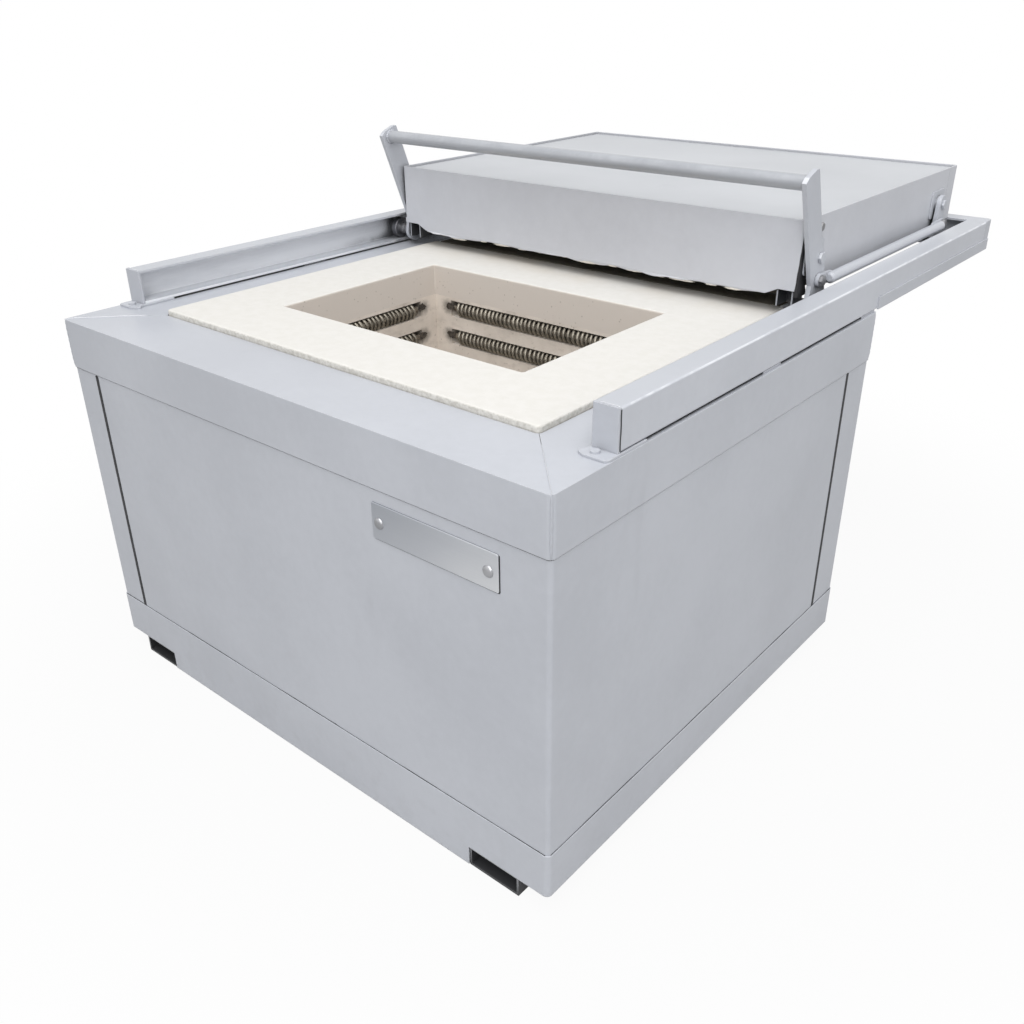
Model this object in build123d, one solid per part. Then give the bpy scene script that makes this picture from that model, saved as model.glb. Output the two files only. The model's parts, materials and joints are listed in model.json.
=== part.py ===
from build123d import *
import os
from math import atan2, cos, degrees, hypot, radians, sin, tan

# Top-loading cupellation furnace: a sheet steel body on two fork pockets, a hot chamber that opens upwards,
# and a lid that is lifted by a hand lever and rolls back on four wheels inside two channel rails.
# Millimetres. X is the width, Y runs from the front face to the back, Z is up from the floor.
# Places along Y are written as distances behind the front face; the export moves the origin to mid-length.

# Body
BODY_W = 1200.0
BODY_D = 1012.0
BODY_H = 750.0
CORNER_R = 10.0
SHEET = 2.0
HEAVY_SHEET = 3.0
PANEL_RECESS = 2.0
PANEL_GAP = 5.0
SEAM = 0.6
RETURN_LIP = 12.0
SKIRT_TOP = 127.0
TOP_BAND = 95.0
CASING_TOP_GAP = 2.0
LEFT_STRIP = 82.0
REAR_STRIP = 98.0

# Fork pockets and base
POCKET_W = 106.0
POCKET_H = 40.0
POCKET_WALL = 4.0
POCKET_SET_IN = 115.0
BASE_H = 40.0
BASE_FLANGE = 40.0
BASE_WALL = 4.0
CROSS_W = 50.0
CROSS_SET_IN = 300.0
POST = 50.0
POST_T = 5.0

# Chamber and lining
CHAMBER_W = 606.0
CHAMBER_D = 420.0
CHAMBER_FRONT = 301.0
CHAMBER_H = 294.0
BRICK = 76.0
HEARTH = 64.0
LINING_MARGIN = 57.0
BOARD_SIDE = 135.0
BOARD_FRONT = 142.0
BOARD_REAR = 116.0
BOARD_T = 67.0
BOARD_PROUD = 11.0
BOARD_CORNER_R = 8.0
BOARD_EDGE_R = 4.0
BOARD_CLEAR = 1.5
OPENING_LIP = 35.0
STRIP_SIDE = 148.0
STRIP_D = 64.0
STRIP_T = 10.5

# Heating elements: a wire coil hung on a ceramic tube in each groove of the brick walls
ROWS = 4
ROW_DROP = 27.0
ROW_PITCH = 65.0
GROOVE_BELOW = 16.0
GROOVE_ABOVE = 20.0
GROOVE_DEPTH = 27.0
GROOVE_END = 48.0
TUBE_D = 12.0
TUBE_DEPTH = 13.5
TUBE_SOCKET = 12.0
COIL_D = 25.0
WIRE = 4.6
COIL_INSET = 20.0
COIL_SEAT = 0.3
TERMINAL_D = 8.0
TERMINAL_INSET = 10.0
PROBE_D = 8.0
PROBE_X = 230.0
PROBE_REACH = 25.0
TERMINAL_OUT = 22.0
PROBE_HEAD = (12.0, 36.0, 14.0)

# Terminal box on the back
BOX_W = 640.0
BOX_D = 64.0
BOX_H = 270.0
BOX_DROP = 44.0
BOX_SCREW_IN = 14.0
BOX_BRACKET = (12.0, 8.0, 24.0)
LOUVRE = (180.0, 4.0, 14.0)
LOUVRE_X = 170.0
LOUVRE_DROP = 60.0
COVER_T = 2.0
COVER_RIM = 12.0
GLAND_X = 240.0
GLAND_BORE_R = 9.0
GLAND_R = 16.0
GLAND_DROP = 34.0
GLAND_HEX = 8.0
BLOCK_W = 180.0
BLOCK_D = 30.0
BLOCK_H = 32.0
BLOCK_RISE = 30.0
POLES = 6
POLE_W = 20.0
POLE_H = 16.0
POLE_DEPTH = 18.0

# Rails
RAIL_W = 43.0
RAIL_H = 66.0
RAIL_T = 5.0
RAIL_R = 4.0
RAIL_FRONT = 146.0
RAIL_BACK = 1665.0
RAIL_SET_IN = 3.0
CROSS_RAIL = 43.0
CROSS_RAIL_R = 12.0
PACKER = 4.0
PACKER_L = 60.0
PACKER_MIDDLE = 560.0
PACKER_SET_IN = 4.0
STIFFENER_H = 24.0
STIFFENER_START = 2.0
STIFFENER_STOP = 14.0
FOOT_PLATE = (28.0, 96.0, 22.0, 14.0, 6.0)
FOOT_BOLT = (20.0, 13.0, 7.0, 5.0)

# Running gear: R is the roller axle, P the lid's pivot, L the link pin, all on one lever
RUN_CLEAR = 0.3
FIT = 0.05
ROLLER_D = 47.0
ROLLER_W = 15.0
ROLLER_INSET = 19.0
AXLE_R = 10.0
PIVOT_R = 8.0
LINK_PIN_R = 6.0
R_PLACE = 878.0
P_OFFSET = (8.0, 84.0)
L_OFFSET = (4.0, 44.0)
LEVER_T = 9.0
LEVER_GAP = 7.0
ARM_W = 50.0
ARM_LEAN = 21.0
ARM_FOOT = 22.0
BAR_OFFSET = (-63.0, 223.0)
BAR_D = 27.0
BAR_WALL = 3.0
ARM_TOP = 18.0
LEVER_SWING = 52.0
AXLE_SPACING = 630.0
LINK_D = 21.0
TONGUE_T = 7.0
TONGUE_H = 24.0
TONGUE_L = 48.0
LEVER_EYE_LOW = 24.0
LEVER_EYE_HIGH = 17.0
CRANK_EYE_LOW = 19.0
CRANK_EYE_HIGH = 20.0
AXLE_HEAD_R = 13.0
AXLE_COLLAR_R = 14.0
AXLE_RING_R = 12.5
AXLE_RING_IN = 12.0
AXLE_RING_OUT = 4.0
COLLAR_T = 5.0

# Lid
LID_SIDE_GAP = 44.0
LID_FRONT = 841.0
LID_L = 778.0
LID_H = 118.0
LID_RISE = 70.0
LID_RECESS = 15.0
LID_CORNER_R = 5.0
PIVOT_PLATE = 3.0
PIVOT_PLATE_L = 74.0
PIVOT_PLATE_H = 60.0
PIVOT_BOSS_R = 17.0
PIVOT_HEAD_R = 11.0
SKIRT_DROP = 23.0
NOTCH_DROP = 11.0
NOTCH_IN = 40.0
NOTCH_SLOPE = 25.0
LID_FLANGE = 25.0
LID_FRAME_H = 30.0
LID_CLEAR = 3.5
LID_PLUG_MARGIN = 45.0
LID_SEAM = 48.0
FOOT_L = 40.0
FOOT_W = 33.0
FOOT_T = 3.0
FOOT_INSET = 10.0
REAR_FOOT_CLEAR = 7.0
PEG_R = 8.0
PEG_DROP = 16.0

# Sizes that follow
base_z = POCKET_H
pan_z = POCKET_H + BASE_H
lining_z = pan_z + SHEET
pocket_x = BODY_W / 2 - POCKET_SET_IN
board_w = BODY_W - 2 * BOARD_SIDE
board_back = BODY_D - BOARD_REAR
board_top = BODY_H + BOARD_PROUD
board_low = board_top - BOARD_T
chamber_floor = board_low - CHAMBER_H
chamber_back = CHAMBER_FRONT + CHAMBER_D
rail_low = BODY_H + PACKER
rail_high = rail_low + RAIL_H
rail_out = BODY_W / 2 - RAIL_SET_IN
rail_in = rail_out - RAIL_W
rail_end = RAIL_BACK - CROSS_RAIL
axle_z = rail_low + RAIL_T + ROLLER_D / 2 + RUN_CLEAR
roller_x = rail_out - ROLLER_INSET - ROLLER_W / 2
lid_w = 2 * (rail_in - LID_SIDE_GAP)
lever_in = lid_w / 2 + LEVER_GAP
lever_out = lever_in + LEVER_T
head_in = lid_w / 2 + PIVOT_PLATE + RUN_CLEAR
link_x = lever_out + 2 + LINK_D / 2
swing = radians(LEVER_SWING)
lid_drop = P_OFFSET[1] - (P_OFFSET[0] * sin(swing) + P_OFFSET[1] * cos(swing))
lid_back = LID_FRONT + LID_L
lid_low = BODY_H + LID_RISE
lid_top = lid_low + LID_H
plug_low = board_top + lid_drop + RUN_CLEAR
row_heights = [board_low - ROW_DROP - i * ROW_PITCH for i in range(ROWS)]
box_high = BODY_H - BOX_DROP
box_low = box_high - BOX_H
coil_hang = COIL_D / 2 - WIRE - TUBE_D / 2 - COIL_SEAT


def block(x0, x1, y0, y1, z0, z1):
    return Pos((x0 + x1) / 2, (y0 + y1) / 2, (z0 + z1) / 2) * Box(x1 - x0, y1 - y0, z1 - z0)


def rod_x(x0, x1, y, z, r):
    return extrude(Plane.YZ.offset(x0) * Pos(y, z) * Circle(r), x1 - x0)


def rod_y(x, y0, y1, z, r):
    return extrude(Plane.XZ.offset(-y1) * Pos(x, z) * Circle(r), y1 - y0)


def rod_z(x, y, z0, z1, r):
    return extrude(Plane.XY.offset(z0) * Pos(x, y) * Circle(r), z1 - z0)


def side_plate(outline, x0, x1):
    """A plate cut to an outline in Y and Z, from x0 to x1."""
    return extrude(Plane.YZ.offset(x0) * outline, x1 - x0)


def flat_plate(points, z0, z1):
    return extrude(Plane.XY.offset(z0) * make_face(Polyline(*points, close=True)), z1 - z0)


def rounded(w, y0, y1, z0, z1, r):
    """A block centred on X with rounded upright corners."""
    return extrude(Plane.XY.offset(z0) * Pos(0, (y0 + y1) / 2) * RectangleRounded(w, y1 - y0, r), z1 - z0)


def ring(w, y0, y1, z0, z1, wall, r):
    """A sheet wall that runs right round, wall thick, measured to its outside."""
    hollow = rounded(w - 2 * wall, y0 + wall, y1 - wall, z0 - 1, z1 + 1, r - wall)
    return rounded(w, y0, y1, z0, z1, r) - hollow


def both(piece):
    return [piece, mirror(piece, Plane.YZ)]


def group(pieces):
    return Compound(children=[solid for piece in pieces for solid in piece.solids()])


def save(node, piece):
    moved = Pos(0, -RAIL_BACK / 2, 0) * piece
    export_step(moved, f"parts/{node}.step")


def fork_pockets():
    def pocket(x):
        outer = block(x - POCKET_W / 2, x + POCKET_W / 2, SHEET, BODY_D - SHEET, 0, POCKET_H)
        hole_w = POCKET_W / 2 - POCKET_WALL
        return outer - block(x - hole_w, x + hole_w, 0, BODY_D, POCKET_WALL, POCKET_H - POCKET_WALL)
    return group([pocket(-pocket_x), pocket(pocket_x)])


def base_frame():
    inset = HEAVY_SHEET
    w, y0, y1 = BODY_W - 2 * inset, inset, BODY_D - inset
    frame = rounded(w, y0, y1, base_z, pan_z, CORNER_R - inset + 1)
    inner_x = w / 2 - BASE_FLANGE
    frame -= block(-inner_x, inner_x, y0 + BASE_FLANGE, y1 - BASE_FLANGE, base_z - 1, pan_z + 1)
    web = BASE_WALL
    frame -= block(-w / 2 + web, w / 2 - web, y0 + web, y1 - web, base_z + web, pan_z - web)
    for y in (CROSS_SET_IN, BODY_D - CROSS_SET_IN):
        bar = block(-w / 2 + web, w / 2 - web, y - CROSS_W / 2, y + CROSS_W / 2, base_z, pan_z)
        hollow = block(-w / 2, w / 2, y - CROSS_W / 2 + web, y + CROSS_W / 2 - web, base_z + web, pan_z - web)
        frame += bar - hollow
    return frame


def base_skirt():
    skirt = ring(BODY_W, 0, BODY_D, base_z, SKIRT_TOP, HEAVY_SHEET, CORNER_R)
    edge = HEAVY_SHEET + RETURN_LIP
    lip = rounded(BODY_W, 0, BODY_D, SKIRT_TOP - HEAVY_SHEET, SKIRT_TOP, CORNER_R)
    lip -= block(-BODY_W / 2 + edge, BODY_W / 2 - edge, edge, BODY_D - edge, 0, BODY_H)
    clear = PANEL_RECESS + SHEET - 0.5
    reach = clear + POST + 2
    for x in (-BODY_W / 2 + clear, BODY_W / 2 - reach):
        for y in (clear, BODY_D - reach):
            lip -= block(x, x + POST + 2, y, y + POST + 2, 0, BODY_H)
    skirt += lip
    drop = pocket_x - POCKET_W / 2 - 1
    for y in (0, BODY_D - HEAVY_SHEET):
        skirt += block(-drop, drop, y, y + HEAVY_SHEET, 1, base_z + 1)
    return skirt


def floor_pan():
    edge = PANEL_RECESS + SHEET
    pan = block(-BODY_W / 2 + edge, BODY_W / 2 - edge, edge, BODY_D - edge, pan_z, lining_z)
    notch = POST + 1
    for x in (-BODY_W / 2 + edge, BODY_W / 2 - edge - notch):
        for y in (edge, BODY_D - edge - notch):
            pan -= block(x, x + notch, y, y + notch, pan_z - 1, lining_z + 1)
    return pan


def corner_posts():
    edge = PANEL_RECESS + SHEET
    outer = rounded(BODY_W - 2 * edge, edge, BODY_D - edge, pan_z, BODY_H - HEAVY_SHEET, CORNER_R - SHEET)
    inner = rounded(BODY_W - 2 * (edge + POST_T), edge + POST_T, BODY_D - edge - POST_T, pan_z - 1, BODY_H, 3)
    shell = outer - inner
    posts = []
    for x in (-BODY_W / 2, BODY_W / 2 - edge - POST):
        for y in (0, BODY_D - edge - POST):
            posts.append(shell & block(x, x + edge + POST, y, y + edge + POST, 0, BODY_H))
    return group(posts)


def casings():
    """Two wrapped casings, one round the front and right, one round the back and left with two strips."""
    out = PANEL_RECESS
    top = BODY_H - TOP_BAND - CASING_TOP_GAP
    wall = ring(BODY_W - 2 * out, out, BODY_D - out, SKIRT_TOP, top, SHEET, CORNER_R - out)
    left_seam = -BODY_W / 2 + LEFT_STRIP
    rear_seam = BODY_D - REAR_STRIP
    half = PANEL_GAP / 2
    inner = out + SHEET
    right = BODY_W / 2 - inner
    front = wall & block(left_seam + half, BODY_W, -BODY_D, rear_seam - half, 0, BODY_H)
    x, y = left_seam + half, rear_seam - half
    front += block(x, x + SHEET, inner - 0.5, inner + RETURN_LIP, SKIRT_TOP, top)
    front += block(right - RETURN_LIP, right + 0.5, y - SHEET, y, SKIRT_TOP, top)
    back = wall - block(left_seam - half, BODY_W, -BODY_D, rear_seam + half, 0, BODY_H)
    x, y = left_seam - half, rear_seam + half
    back += block(x - SHEET, x, inner - 0.5, inner + RETURN_LIP, SKIRT_TOP, top)
    back += block(right - RETURN_LIP, right + 0.5, y, y + SHEET, SKIRT_TOP, top)
    for x, z, r in wall_holes():
        back -= rod_y(x, BODY_D - 20, BODY_D + 20, z, r + 1)
    return front, back


def wall_holes():
    """Where the element terminals and the temperature probe pass through the back."""
    ends = CHAMBER_W / 2 - GROOVE_END - TERMINAL_INSET
    holes = [(x, z, TERMINAL_D / 2) for z in row_heights for x in (-ends, ends)]
    return holes + [(PROBE_X, probe_height(), PROBE_D / 2)]


def probe_height():
    return (row_heights[0] + row_heights[1] + GROOVE_ABOVE - GROOVE_BELOW) / 2 - 2


def top_frame():
    """A folded ring of four mitred sides: outer band, top face and a lip down beside the board."""
    low = BODY_H - TOP_BAND
    hood = rounded(BODY_W, 0, BODY_D, low, BODY_H, CORNER_R)
    t = HEAVY_SHEET
    hood -= rounded(BODY_W - 2 * t, t, BODY_D - t, low - 1, BODY_H - t, CORNER_R - t)
    x = board_w / 2 + BOARD_CLEAR
    y0, y1 = BOARD_FRONT - BOARD_CLEAR, board_back + BOARD_CLEAR
    hood += rounded(2 * (x + t), y0 - t, y1 + t, BODY_H - OPENING_LIP, BODY_H, BOARD_CORNER_R + t)
    hood -= rounded(2 * x, y0, y1, low - 1, BODY_H + 1, BOARD_CORNER_R)
    w, d = BODY_W / 2, BODY_D
    for x_out, y_out, x_in, y_in in ((-w, 0, -x, y0), (w, 0, x, y0), (-w, d, -x, y1), (w, d, x, y1)):
        length = hypot(x_in - x_out, y_in - y_out)
        turn = degrees(atan2(y_in - y_out, x_in - x_out))
        slot = Box(length + 30, SEAM, TOP_BAND + 2)
        hood -= Pos((x_out + x_in) / 2, (y_out + y_in) / 2, low + TOP_BAND / 2) * Rot(0, 0, turn) * slot
    for px, pz, r in wall_holes():
        if pz + r > low:
            hood -= rod_y(px, BODY_D - 20, BODY_D + 20, pz, r + 1)
    along_y = hood.solids().sort_by(Axis.Y)
    along_x = hood.solids().sort_by(Axis.X)
    return {"front": along_y[0], "back": along_y[-1], "left": along_x[0], "right": along_x[-1]}


def top_board():
    board = rounded(board_w, BOARD_FRONT, board_back, board_low, board_top, BOARD_CORNER_R)
    board -= rounded(CHAMBER_W, CHAMBER_FRONT, chamber_back, board_low - 1, board_top + 1, 3)
    return fillet(board.edges().group_by(Axis.Z)[-1], BOARD_EDGE_R)


def rear_strip():
    """A dark fibre strip on the top frame behind the board, under the rolled-back lid."""
    x = BODY_W / 2 - STRIP_SIDE
    y = board_back + BOARD_CLEAR + SEAM
    return block(-x, x, y, y + STRIP_D, BODY_H, BODY_H + STRIP_T)


def groove_tool(length, z):
    """The slot and the two blind tube sockets of one element row, centred on X, cut towards +Y from y = 0."""
    half = length / 2 - GROOVE_END
    slot = block(-half, half, -1, GROOVE_DEPTH, z - GROOVE_BELOW, z + GROOVE_ABOVE)
    slot = fillet(slot.edges().filter_by(Axis.Z).group_by(Axis.Y)[-1], 10)
    reach = half + TUBE_SOCKET + 1
    return slot + rod_x(-reach, reach, TUBE_DEPTH, z, TUBE_D / 2 + 0.3)


def brick_walls():
    x, y0, y1 = CHAMBER_W / 2, CHAMBER_FRONT, chamber_back
    mid = (y0 + y1) / 2
    long_tool = [groove_tool(CHAMBER_W, z) for z in row_heights]
    short_tool = [groove_tool(CHAMBER_D, z) for z in row_heights]
    back = block(-x - BRICK, x + BRICK, y1, y1 + BRICK, chamber_floor, board_low)
    front = block(-x - BRICK, x + BRICK, y0 - BRICK, y0, chamber_floor, board_low)
    left = block(-x - BRICK, -x, y0, y1, chamber_floor, board_low)
    right = block(x, x + BRICK, y0, y1, chamber_floor, board_low)
    for tool in long_tool:
        back -= Pos(0, y1, 0) * tool
        front -= Pos(0, y0, 0) * Rot(0, 0, 180) * tool
    for tool in short_tool:
        left -= Pos(-x, mid, 0) * Rot(0, 0, 90) * tool
        right -= Pos(x, mid, 0) * Rot(0, 0, -90) * tool
    for px, pz, r in wall_holes():
        back -= rod_y(px, y1 - 1, y1 + BRICK + 1, pz, r + 0.5)
    return {"front": front, "back": back, "left": left, "right": right}


def linings():
    x0 = CHAMBER_W / 2 + BRICK
    x1 = BODY_W / 2 - LINING_MARGIN
    y0, y1 = CHAMBER_FRONT - BRICK, chamber_back + BRICK
    hearth_low = chamber_floor - HEARTH
    hearth = block(-x0, x0, y0, y1, hearth_low, chamber_floor)
    under = block(-x1, x1, LINING_MARGIN, BODY_D - LINING_MARGIN, lining_z, hearth_low)
    rear = block(-x1, x1, y1, BODY_D - LINING_MARGIN, hearth_low, board_low)
    for px, pz, r in wall_holes():
        rear -= rod_y(px, y1 - 1, BODY_D, pz, r + 0.5)
    slabs = [block(-x1, x1, LINING_MARGIN, y0, hearth_low, board_low), rear]
    slabs += both(block(x0, x1, y0 + SEAM, y1 - SEAM, hearth_low, board_low))
    return hearth, under, group(slabs)


def on_wall(piece, wall):
    """Moves a row piece made along X, TUBE_DEPTH inside y = 0, to its place on one of the four walls."""
    mid = (CHAMBER_FRONT + chamber_back) / 2
    x = CHAMBER_W / 2
    places = {"back": Pos(0, chamber_back, 0), "front": Pos(0, CHAMBER_FRONT, 0) * Rot(0, 0, 180),
              "left": Pos(-x, mid, 0) * Rot(0, 0, 90), "right": Pos(x, mid, 0) * Rot(0, 0, -90)}
    return places[wall] * piece


def wall_length(wall):
    return CHAMBER_W if wall in ("front", "back") else CHAMBER_D


def element_tube(wall, z):
    reach = wall_length(wall) / 2 - GROOVE_END + TUBE_SOCKET
    return on_wall(rod_x(-reach, reach, TUBE_DEPTH, z, TUBE_D / 2), wall)


def sleeve_coil(wall, z):
    """The outer shape of a coil, closed, round its tube."""
    half = wall_length(wall) / 2 - GROOVE_END - COIL_INSET
    sleeve = rod_x(-half, half, TUBE_DEPTH, z - coil_hang, COIL_D / 2)
    return on_wall(sleeve - rod_x(-half - 1, half + 1, TUBE_DEPTH, z - coil_hang, COIL_D / 2 - WIRE), wall)


def element_terminals():
    pieces = []
    for x, z, r in wall_holes()[:-1]:
        start = chamber_back + TUBE_DEPTH + TUBE_D / 2 + 0.5
        pieces.append(rod_y(x, start, BODY_D + TERMINAL_OUT, z, r))
    return group(pieces)


def thermocouple():
    z = probe_height()
    h0, h1, head_r = PROBE_HEAD
    probe = rod_y(PROBE_X, chamber_back - PROBE_REACH, BODY_D + (h0 + h1) / 2, z, PROBE_D / 2)
    probe = fillet(probe.edges().group_by(Axis.Y)[0], PROBE_D / 2 - 0.5)
    return probe + rod_y(PROBE_X, BODY_D + h0, BODY_D + h1, z, head_r)


def terminal_box():
    y0, y1 = BODY_D, BODY_D + BOX_D
    w = BOX_W / 2
    box = block(-w, w, y0, y1, box_low, box_high)
    box -= block(-w + SHEET, w - SHEET, y0 + SHEET, y1 + 1, box_low + SHEET, box_high - SHEET)
    for x, z, r in wall_holes():
        box -= rod_y(x, y0 - 1, y0 + SHEET + 1, z, r + 1)
    half, up, tall = BOX_BRACKET
    for x in (-w + half + up, w - half - up):
        box += block(x - half, x + half, y0 - PANEL_RECESS, y0 + 1, box_low + up, box_low + up + tall)
    box -= rod_z(GLAND_X, (y0 + y1) / 2, box_low - 1, box_low + SHEET + 1, GLAND_BORE_R + 3)
    cover = block(-w - SHEET, w + SHEET, y1 - COVER_RIM, y1 + COVER_T, box_low - SHEET, box_high + SHEET)
    cover -= block(-w - FIT, w + FIT, y1 - COVER_RIM - 1, y1, box_low - FIT, box_high + FIT)
    long, high, pitch = LOUVRE
    for row in range(4):
        for side in (-1, 1):
            z = box_high - LOUVRE_DROP - pitch * row
            louvre = Pos(side * LOUVRE_X, y1 + 1, z) * Box(long, 10, high)
            cover -= louvre
    for x in (-w + BOX_SCREW_IN, w - BOX_SCREW_IN):
        for z in (box_low + BOX_SCREW_IN, box_high - BOX_SCREW_IN):
            cover += rod_y(x, y1 + COVER_T, y1 + COVER_T + 3, z, 5)
    return box, cover


def cable_gland():
    y = BODY_D + BOX_D / 2
    z = box_low
    hexagon = Pos(GLAND_X, y) * RegularPolygon(GLAND_R + 2, 6)
    gland = extrude(Plane.XY.offset(z - GLAND_HEX) * hexagon, GLAND_HEX)
    gland += rod_z(GLAND_X, y, z - GLAND_DROP, z - GLAND_HEX, GLAND_R)
    gland = chamfer(gland.edges().group_by(Axis.Z)[0], 5)
    gland += rod_z(GLAND_X, y, z - GLAND_HEX, z + SHEET + GLAND_HEX, GLAND_BORE_R + 2.9)
    return gland - rod_z(GLAND_X, y, z - GLAND_DROP - 1, z + 30, GLAND_BORE_R)


def terminal_block():
    y0 = BODY_D + SHEET
    low = box_low + BLOCK_RISE
    mid = low + BLOCK_H / 2
    bar = block(-BLOCK_W / 2, BLOCK_W / 2, y0, y0 + BLOCK_D, low, low + BLOCK_H)
    pitch = BLOCK_W / POLES
    for i in range(POLES):
        x = (i + 0.5) * pitch - BLOCK_W / 2
        y = y0 + BLOCK_D - POLE_DEPTH
        bar -= block(x - POLE_W / 2, x + POLE_W / 2, y, y0 + BLOCK_D + 1, mid - POLE_H / 2, mid + POLE_H / 2)
    return bar


def rail_right():
    """A folded channel, open to the inside."""
    w, h, t = RAIL_W, RAIL_H, RAIL_T
    outline = Pos(w / 2, h / 2) * RectangleRounded(w, h, RAIL_R)
    outline += Pos(w / 4, h / 2) * Rectangle(w / 2, h)
    inner = Pos(w / 2 - t, h / 2) * RectangleRounded(w, h - 2 * t, 1.5)
    inner += Pos(w / 4 - t, h / 2) * Rectangle(w / 2, h - 2 * t)
    profile = Pos(rail_in, rail_low) * (outline - inner)
    y0 = RAIL_FRONT + RAIL_T
    return extrude(Plane.XZ.offset(-rail_end) * profile, rail_end - y0)


def rail_cross_rear():
    y0, y1, t = rail_end, RAIL_BACK, RAIL_T
    bar = rounded(2 * rail_out, y0 - CROSS_RAIL, y1, rail_low, rail_high, CROSS_RAIL_R)
    bar &= block(-rail_out, rail_out, y0, y1, rail_low, rail_high)
    bar -= block(-rail_out + t, rail_out - t, y0 - 1, y1 - t, rail_low + t, rail_high - t)
    return bar


def rail_fittings():
    end = block(rail_in, rail_out, RAIL_FRONT, RAIL_FRONT + RAIL_T, rail_low, rail_high)
    ahead, length, waist, ear, cut = FOOT_PLATE
    bolt_x, bolt_y, bolt_r, bolt_h = FOOT_BOLT
    y0 = RAIL_FRONT - ahead
    y1 = y0 + length
    x0, x1 = rail_in - 4, BODY_W / 2 - 1
    foot = flat_plate([(x0 + 8, y0), (x1 - 5, y0), (x1, y0 + cut), (x1, y1), (x0, y1), (x0, y0 + waist),
                       (x0 - 8, y0 + ear), (x0 - 3, y0 + cut)], BODY_H, rail_low)
    foot += rod_z(x0 + bolt_x, y0 + bolt_y, rail_low, rail_low + bolt_h, bolt_r)
    rear = BODY_D - PACKER_SET_IN - PACKER_L
    x0, x1 = rail_in + 4, rail_out - 2
    packers = [block(x0, x1, y, y + PACKER_L, BODY_H, rail_low) for y in (PACKER_MIDDLE, rear)]
    stiff0, stiff1 = BODY_D + STIFFENER_START, RAIL_BACK - STIFFENER_STOP
    stiffener = block(rail_out, BODY_W / 2, stiff0, stiff1, rail_low, rail_low + STIFFENER_H)
    return end, foot, packers, stiffener


def hull_plate(discs, x0, x1):
    """A plate whose outline is the tight band round several discs, each (y, z, radius)."""
    rims = [edge for y, z, r in discs for edge in (Pos(y, z) * Circle(r)).edges()]
    return side_plate(make_hull(rims), x0, x1)


def lever_right():
    ry, rz = R_PLACE, axle_z
    lean = radians(ARM_LEAN)
    along = (-sin(lean), cos(lean))
    across = (cos(lean), sin(lean))
    top = (ry + BAR_OFFSET[0] + ARM_TOP * along[0], rz + BAR_OFFSET[1] + ARM_TOP * along[1])
    length = (top[1] - rz) / cos(lean) - 10
    half = ARM_W / 2

    def corner(down, side):
        return (top[0] - down * along[0] + side * half * across[0],
                top[1] - down * along[1] + side * half * across[1])

    arm = make_face(Polyline(corner(3, 1), corner(0, 0.7), corner(0, -0.5), corner(5, -1), corner(length, -1),
                             corner(length, 1), close=True))
    plate = side_plate(arm, lever_in, lever_out)
    foot = corner(length, 0)
    plate += hull_plate([(ry, rz, LEVER_EYE_LOW), (ry + P_OFFSET[0], rz + P_OFFSET[1], LEVER_EYE_HIGH),
                         (foot[0], foot[1] + 4, ARM_FOOT)], lever_in, lever_out)
    plate -= rod_x(lever_in - 1, lever_out + 1, ry, rz, AXLE_R + FIT)
    plate -= rod_x(lever_in - 1, lever_out + 1, ry + P_OFFSET[0], rz + P_OFFSET[1], PIVOT_R + FIT)
    plate -= rod_x(lever_in - 1, lever_out + 1, ry + L_OFFSET[0], rz + L_OFFSET[1], LINK_PIN_R + FIT)
    return plate


def handle_bar():
    y, z = R_PLACE + BAR_OFFSET[0], axle_z + BAR_OFFSET[1]
    bore = rod_x(-lever_in, lever_in, y, z, BAR_D / 2 - BAR_WALL)
    return rod_x(-lever_in, lever_in, y, z, BAR_D / 2) - bore


def stub_axle(y):
    """Head inside the lever, collar outside it, and a journal and ring that hold the roller."""
    z = axle_z
    r0, r1 = roller_x - ROLLER_W / 2, roller_x + ROLLER_W / 2
    axle = rod_x(head_in, lever_in - RUN_CLEAR, y, z, AXLE_HEAD_R)
    axle += rod_x(lever_in - RUN_CLEAR, r1 + 0.4, y, z, AXLE_R)
    axle += rod_x(lever_out + RUN_CLEAR, lever_out + COLLAR_T, y, z, AXLE_COLLAR_R)
    axle += rod_x(r0 - AXLE_RING_IN, r0 - RUN_CLEAR, y, z, AXLE_RING_R)
    axle += rod_x(r1 + RUN_CLEAR, r1 + AXLE_RING_OUT, y, z, AXLE_RING_R)
    return axle


def roller(y):
    """A ball-race roller: two rings and a shield set back between them."""
    x0, x1 = roller_x - ROLLER_W / 2, roller_x + ROLLER_W / 2
    tread = rod_x(x0, x1, y, axle_z, ROLLER_D / 2)
    tread = chamfer(tread.edges().filter_by(GeomType.CIRCLE), 1)
    for s0, s1 in ((x0 - 1, x0 + 1.5), (x1 - 1.5, x1 + 1)):
        tread -= rod_x(s0, s1, y, axle_z, 19) - rod_x(s0, s1, y, axle_z, 14)
    return tread - rod_x(x0 - 1, x1 + 1, y, axle_z, AXLE_R + FIT)


def link_pin(y):
    z = axle_z + L_OFFSET[1]
    x_head = lever_out + 0.5 + TONGUE_T + RUN_CLEAR
    pin = rod_x(head_in, lever_in - RUN_CLEAR, y, z, 9)
    pin += rod_x(lever_in - RUN_CLEAR, x_head, y, z, LINK_PIN_R)
    head = extrude(Plane.YZ.offset(x_head) * Pos(y, z) * RegularPolygon(10, 6), 6)
    return pin + head


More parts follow.
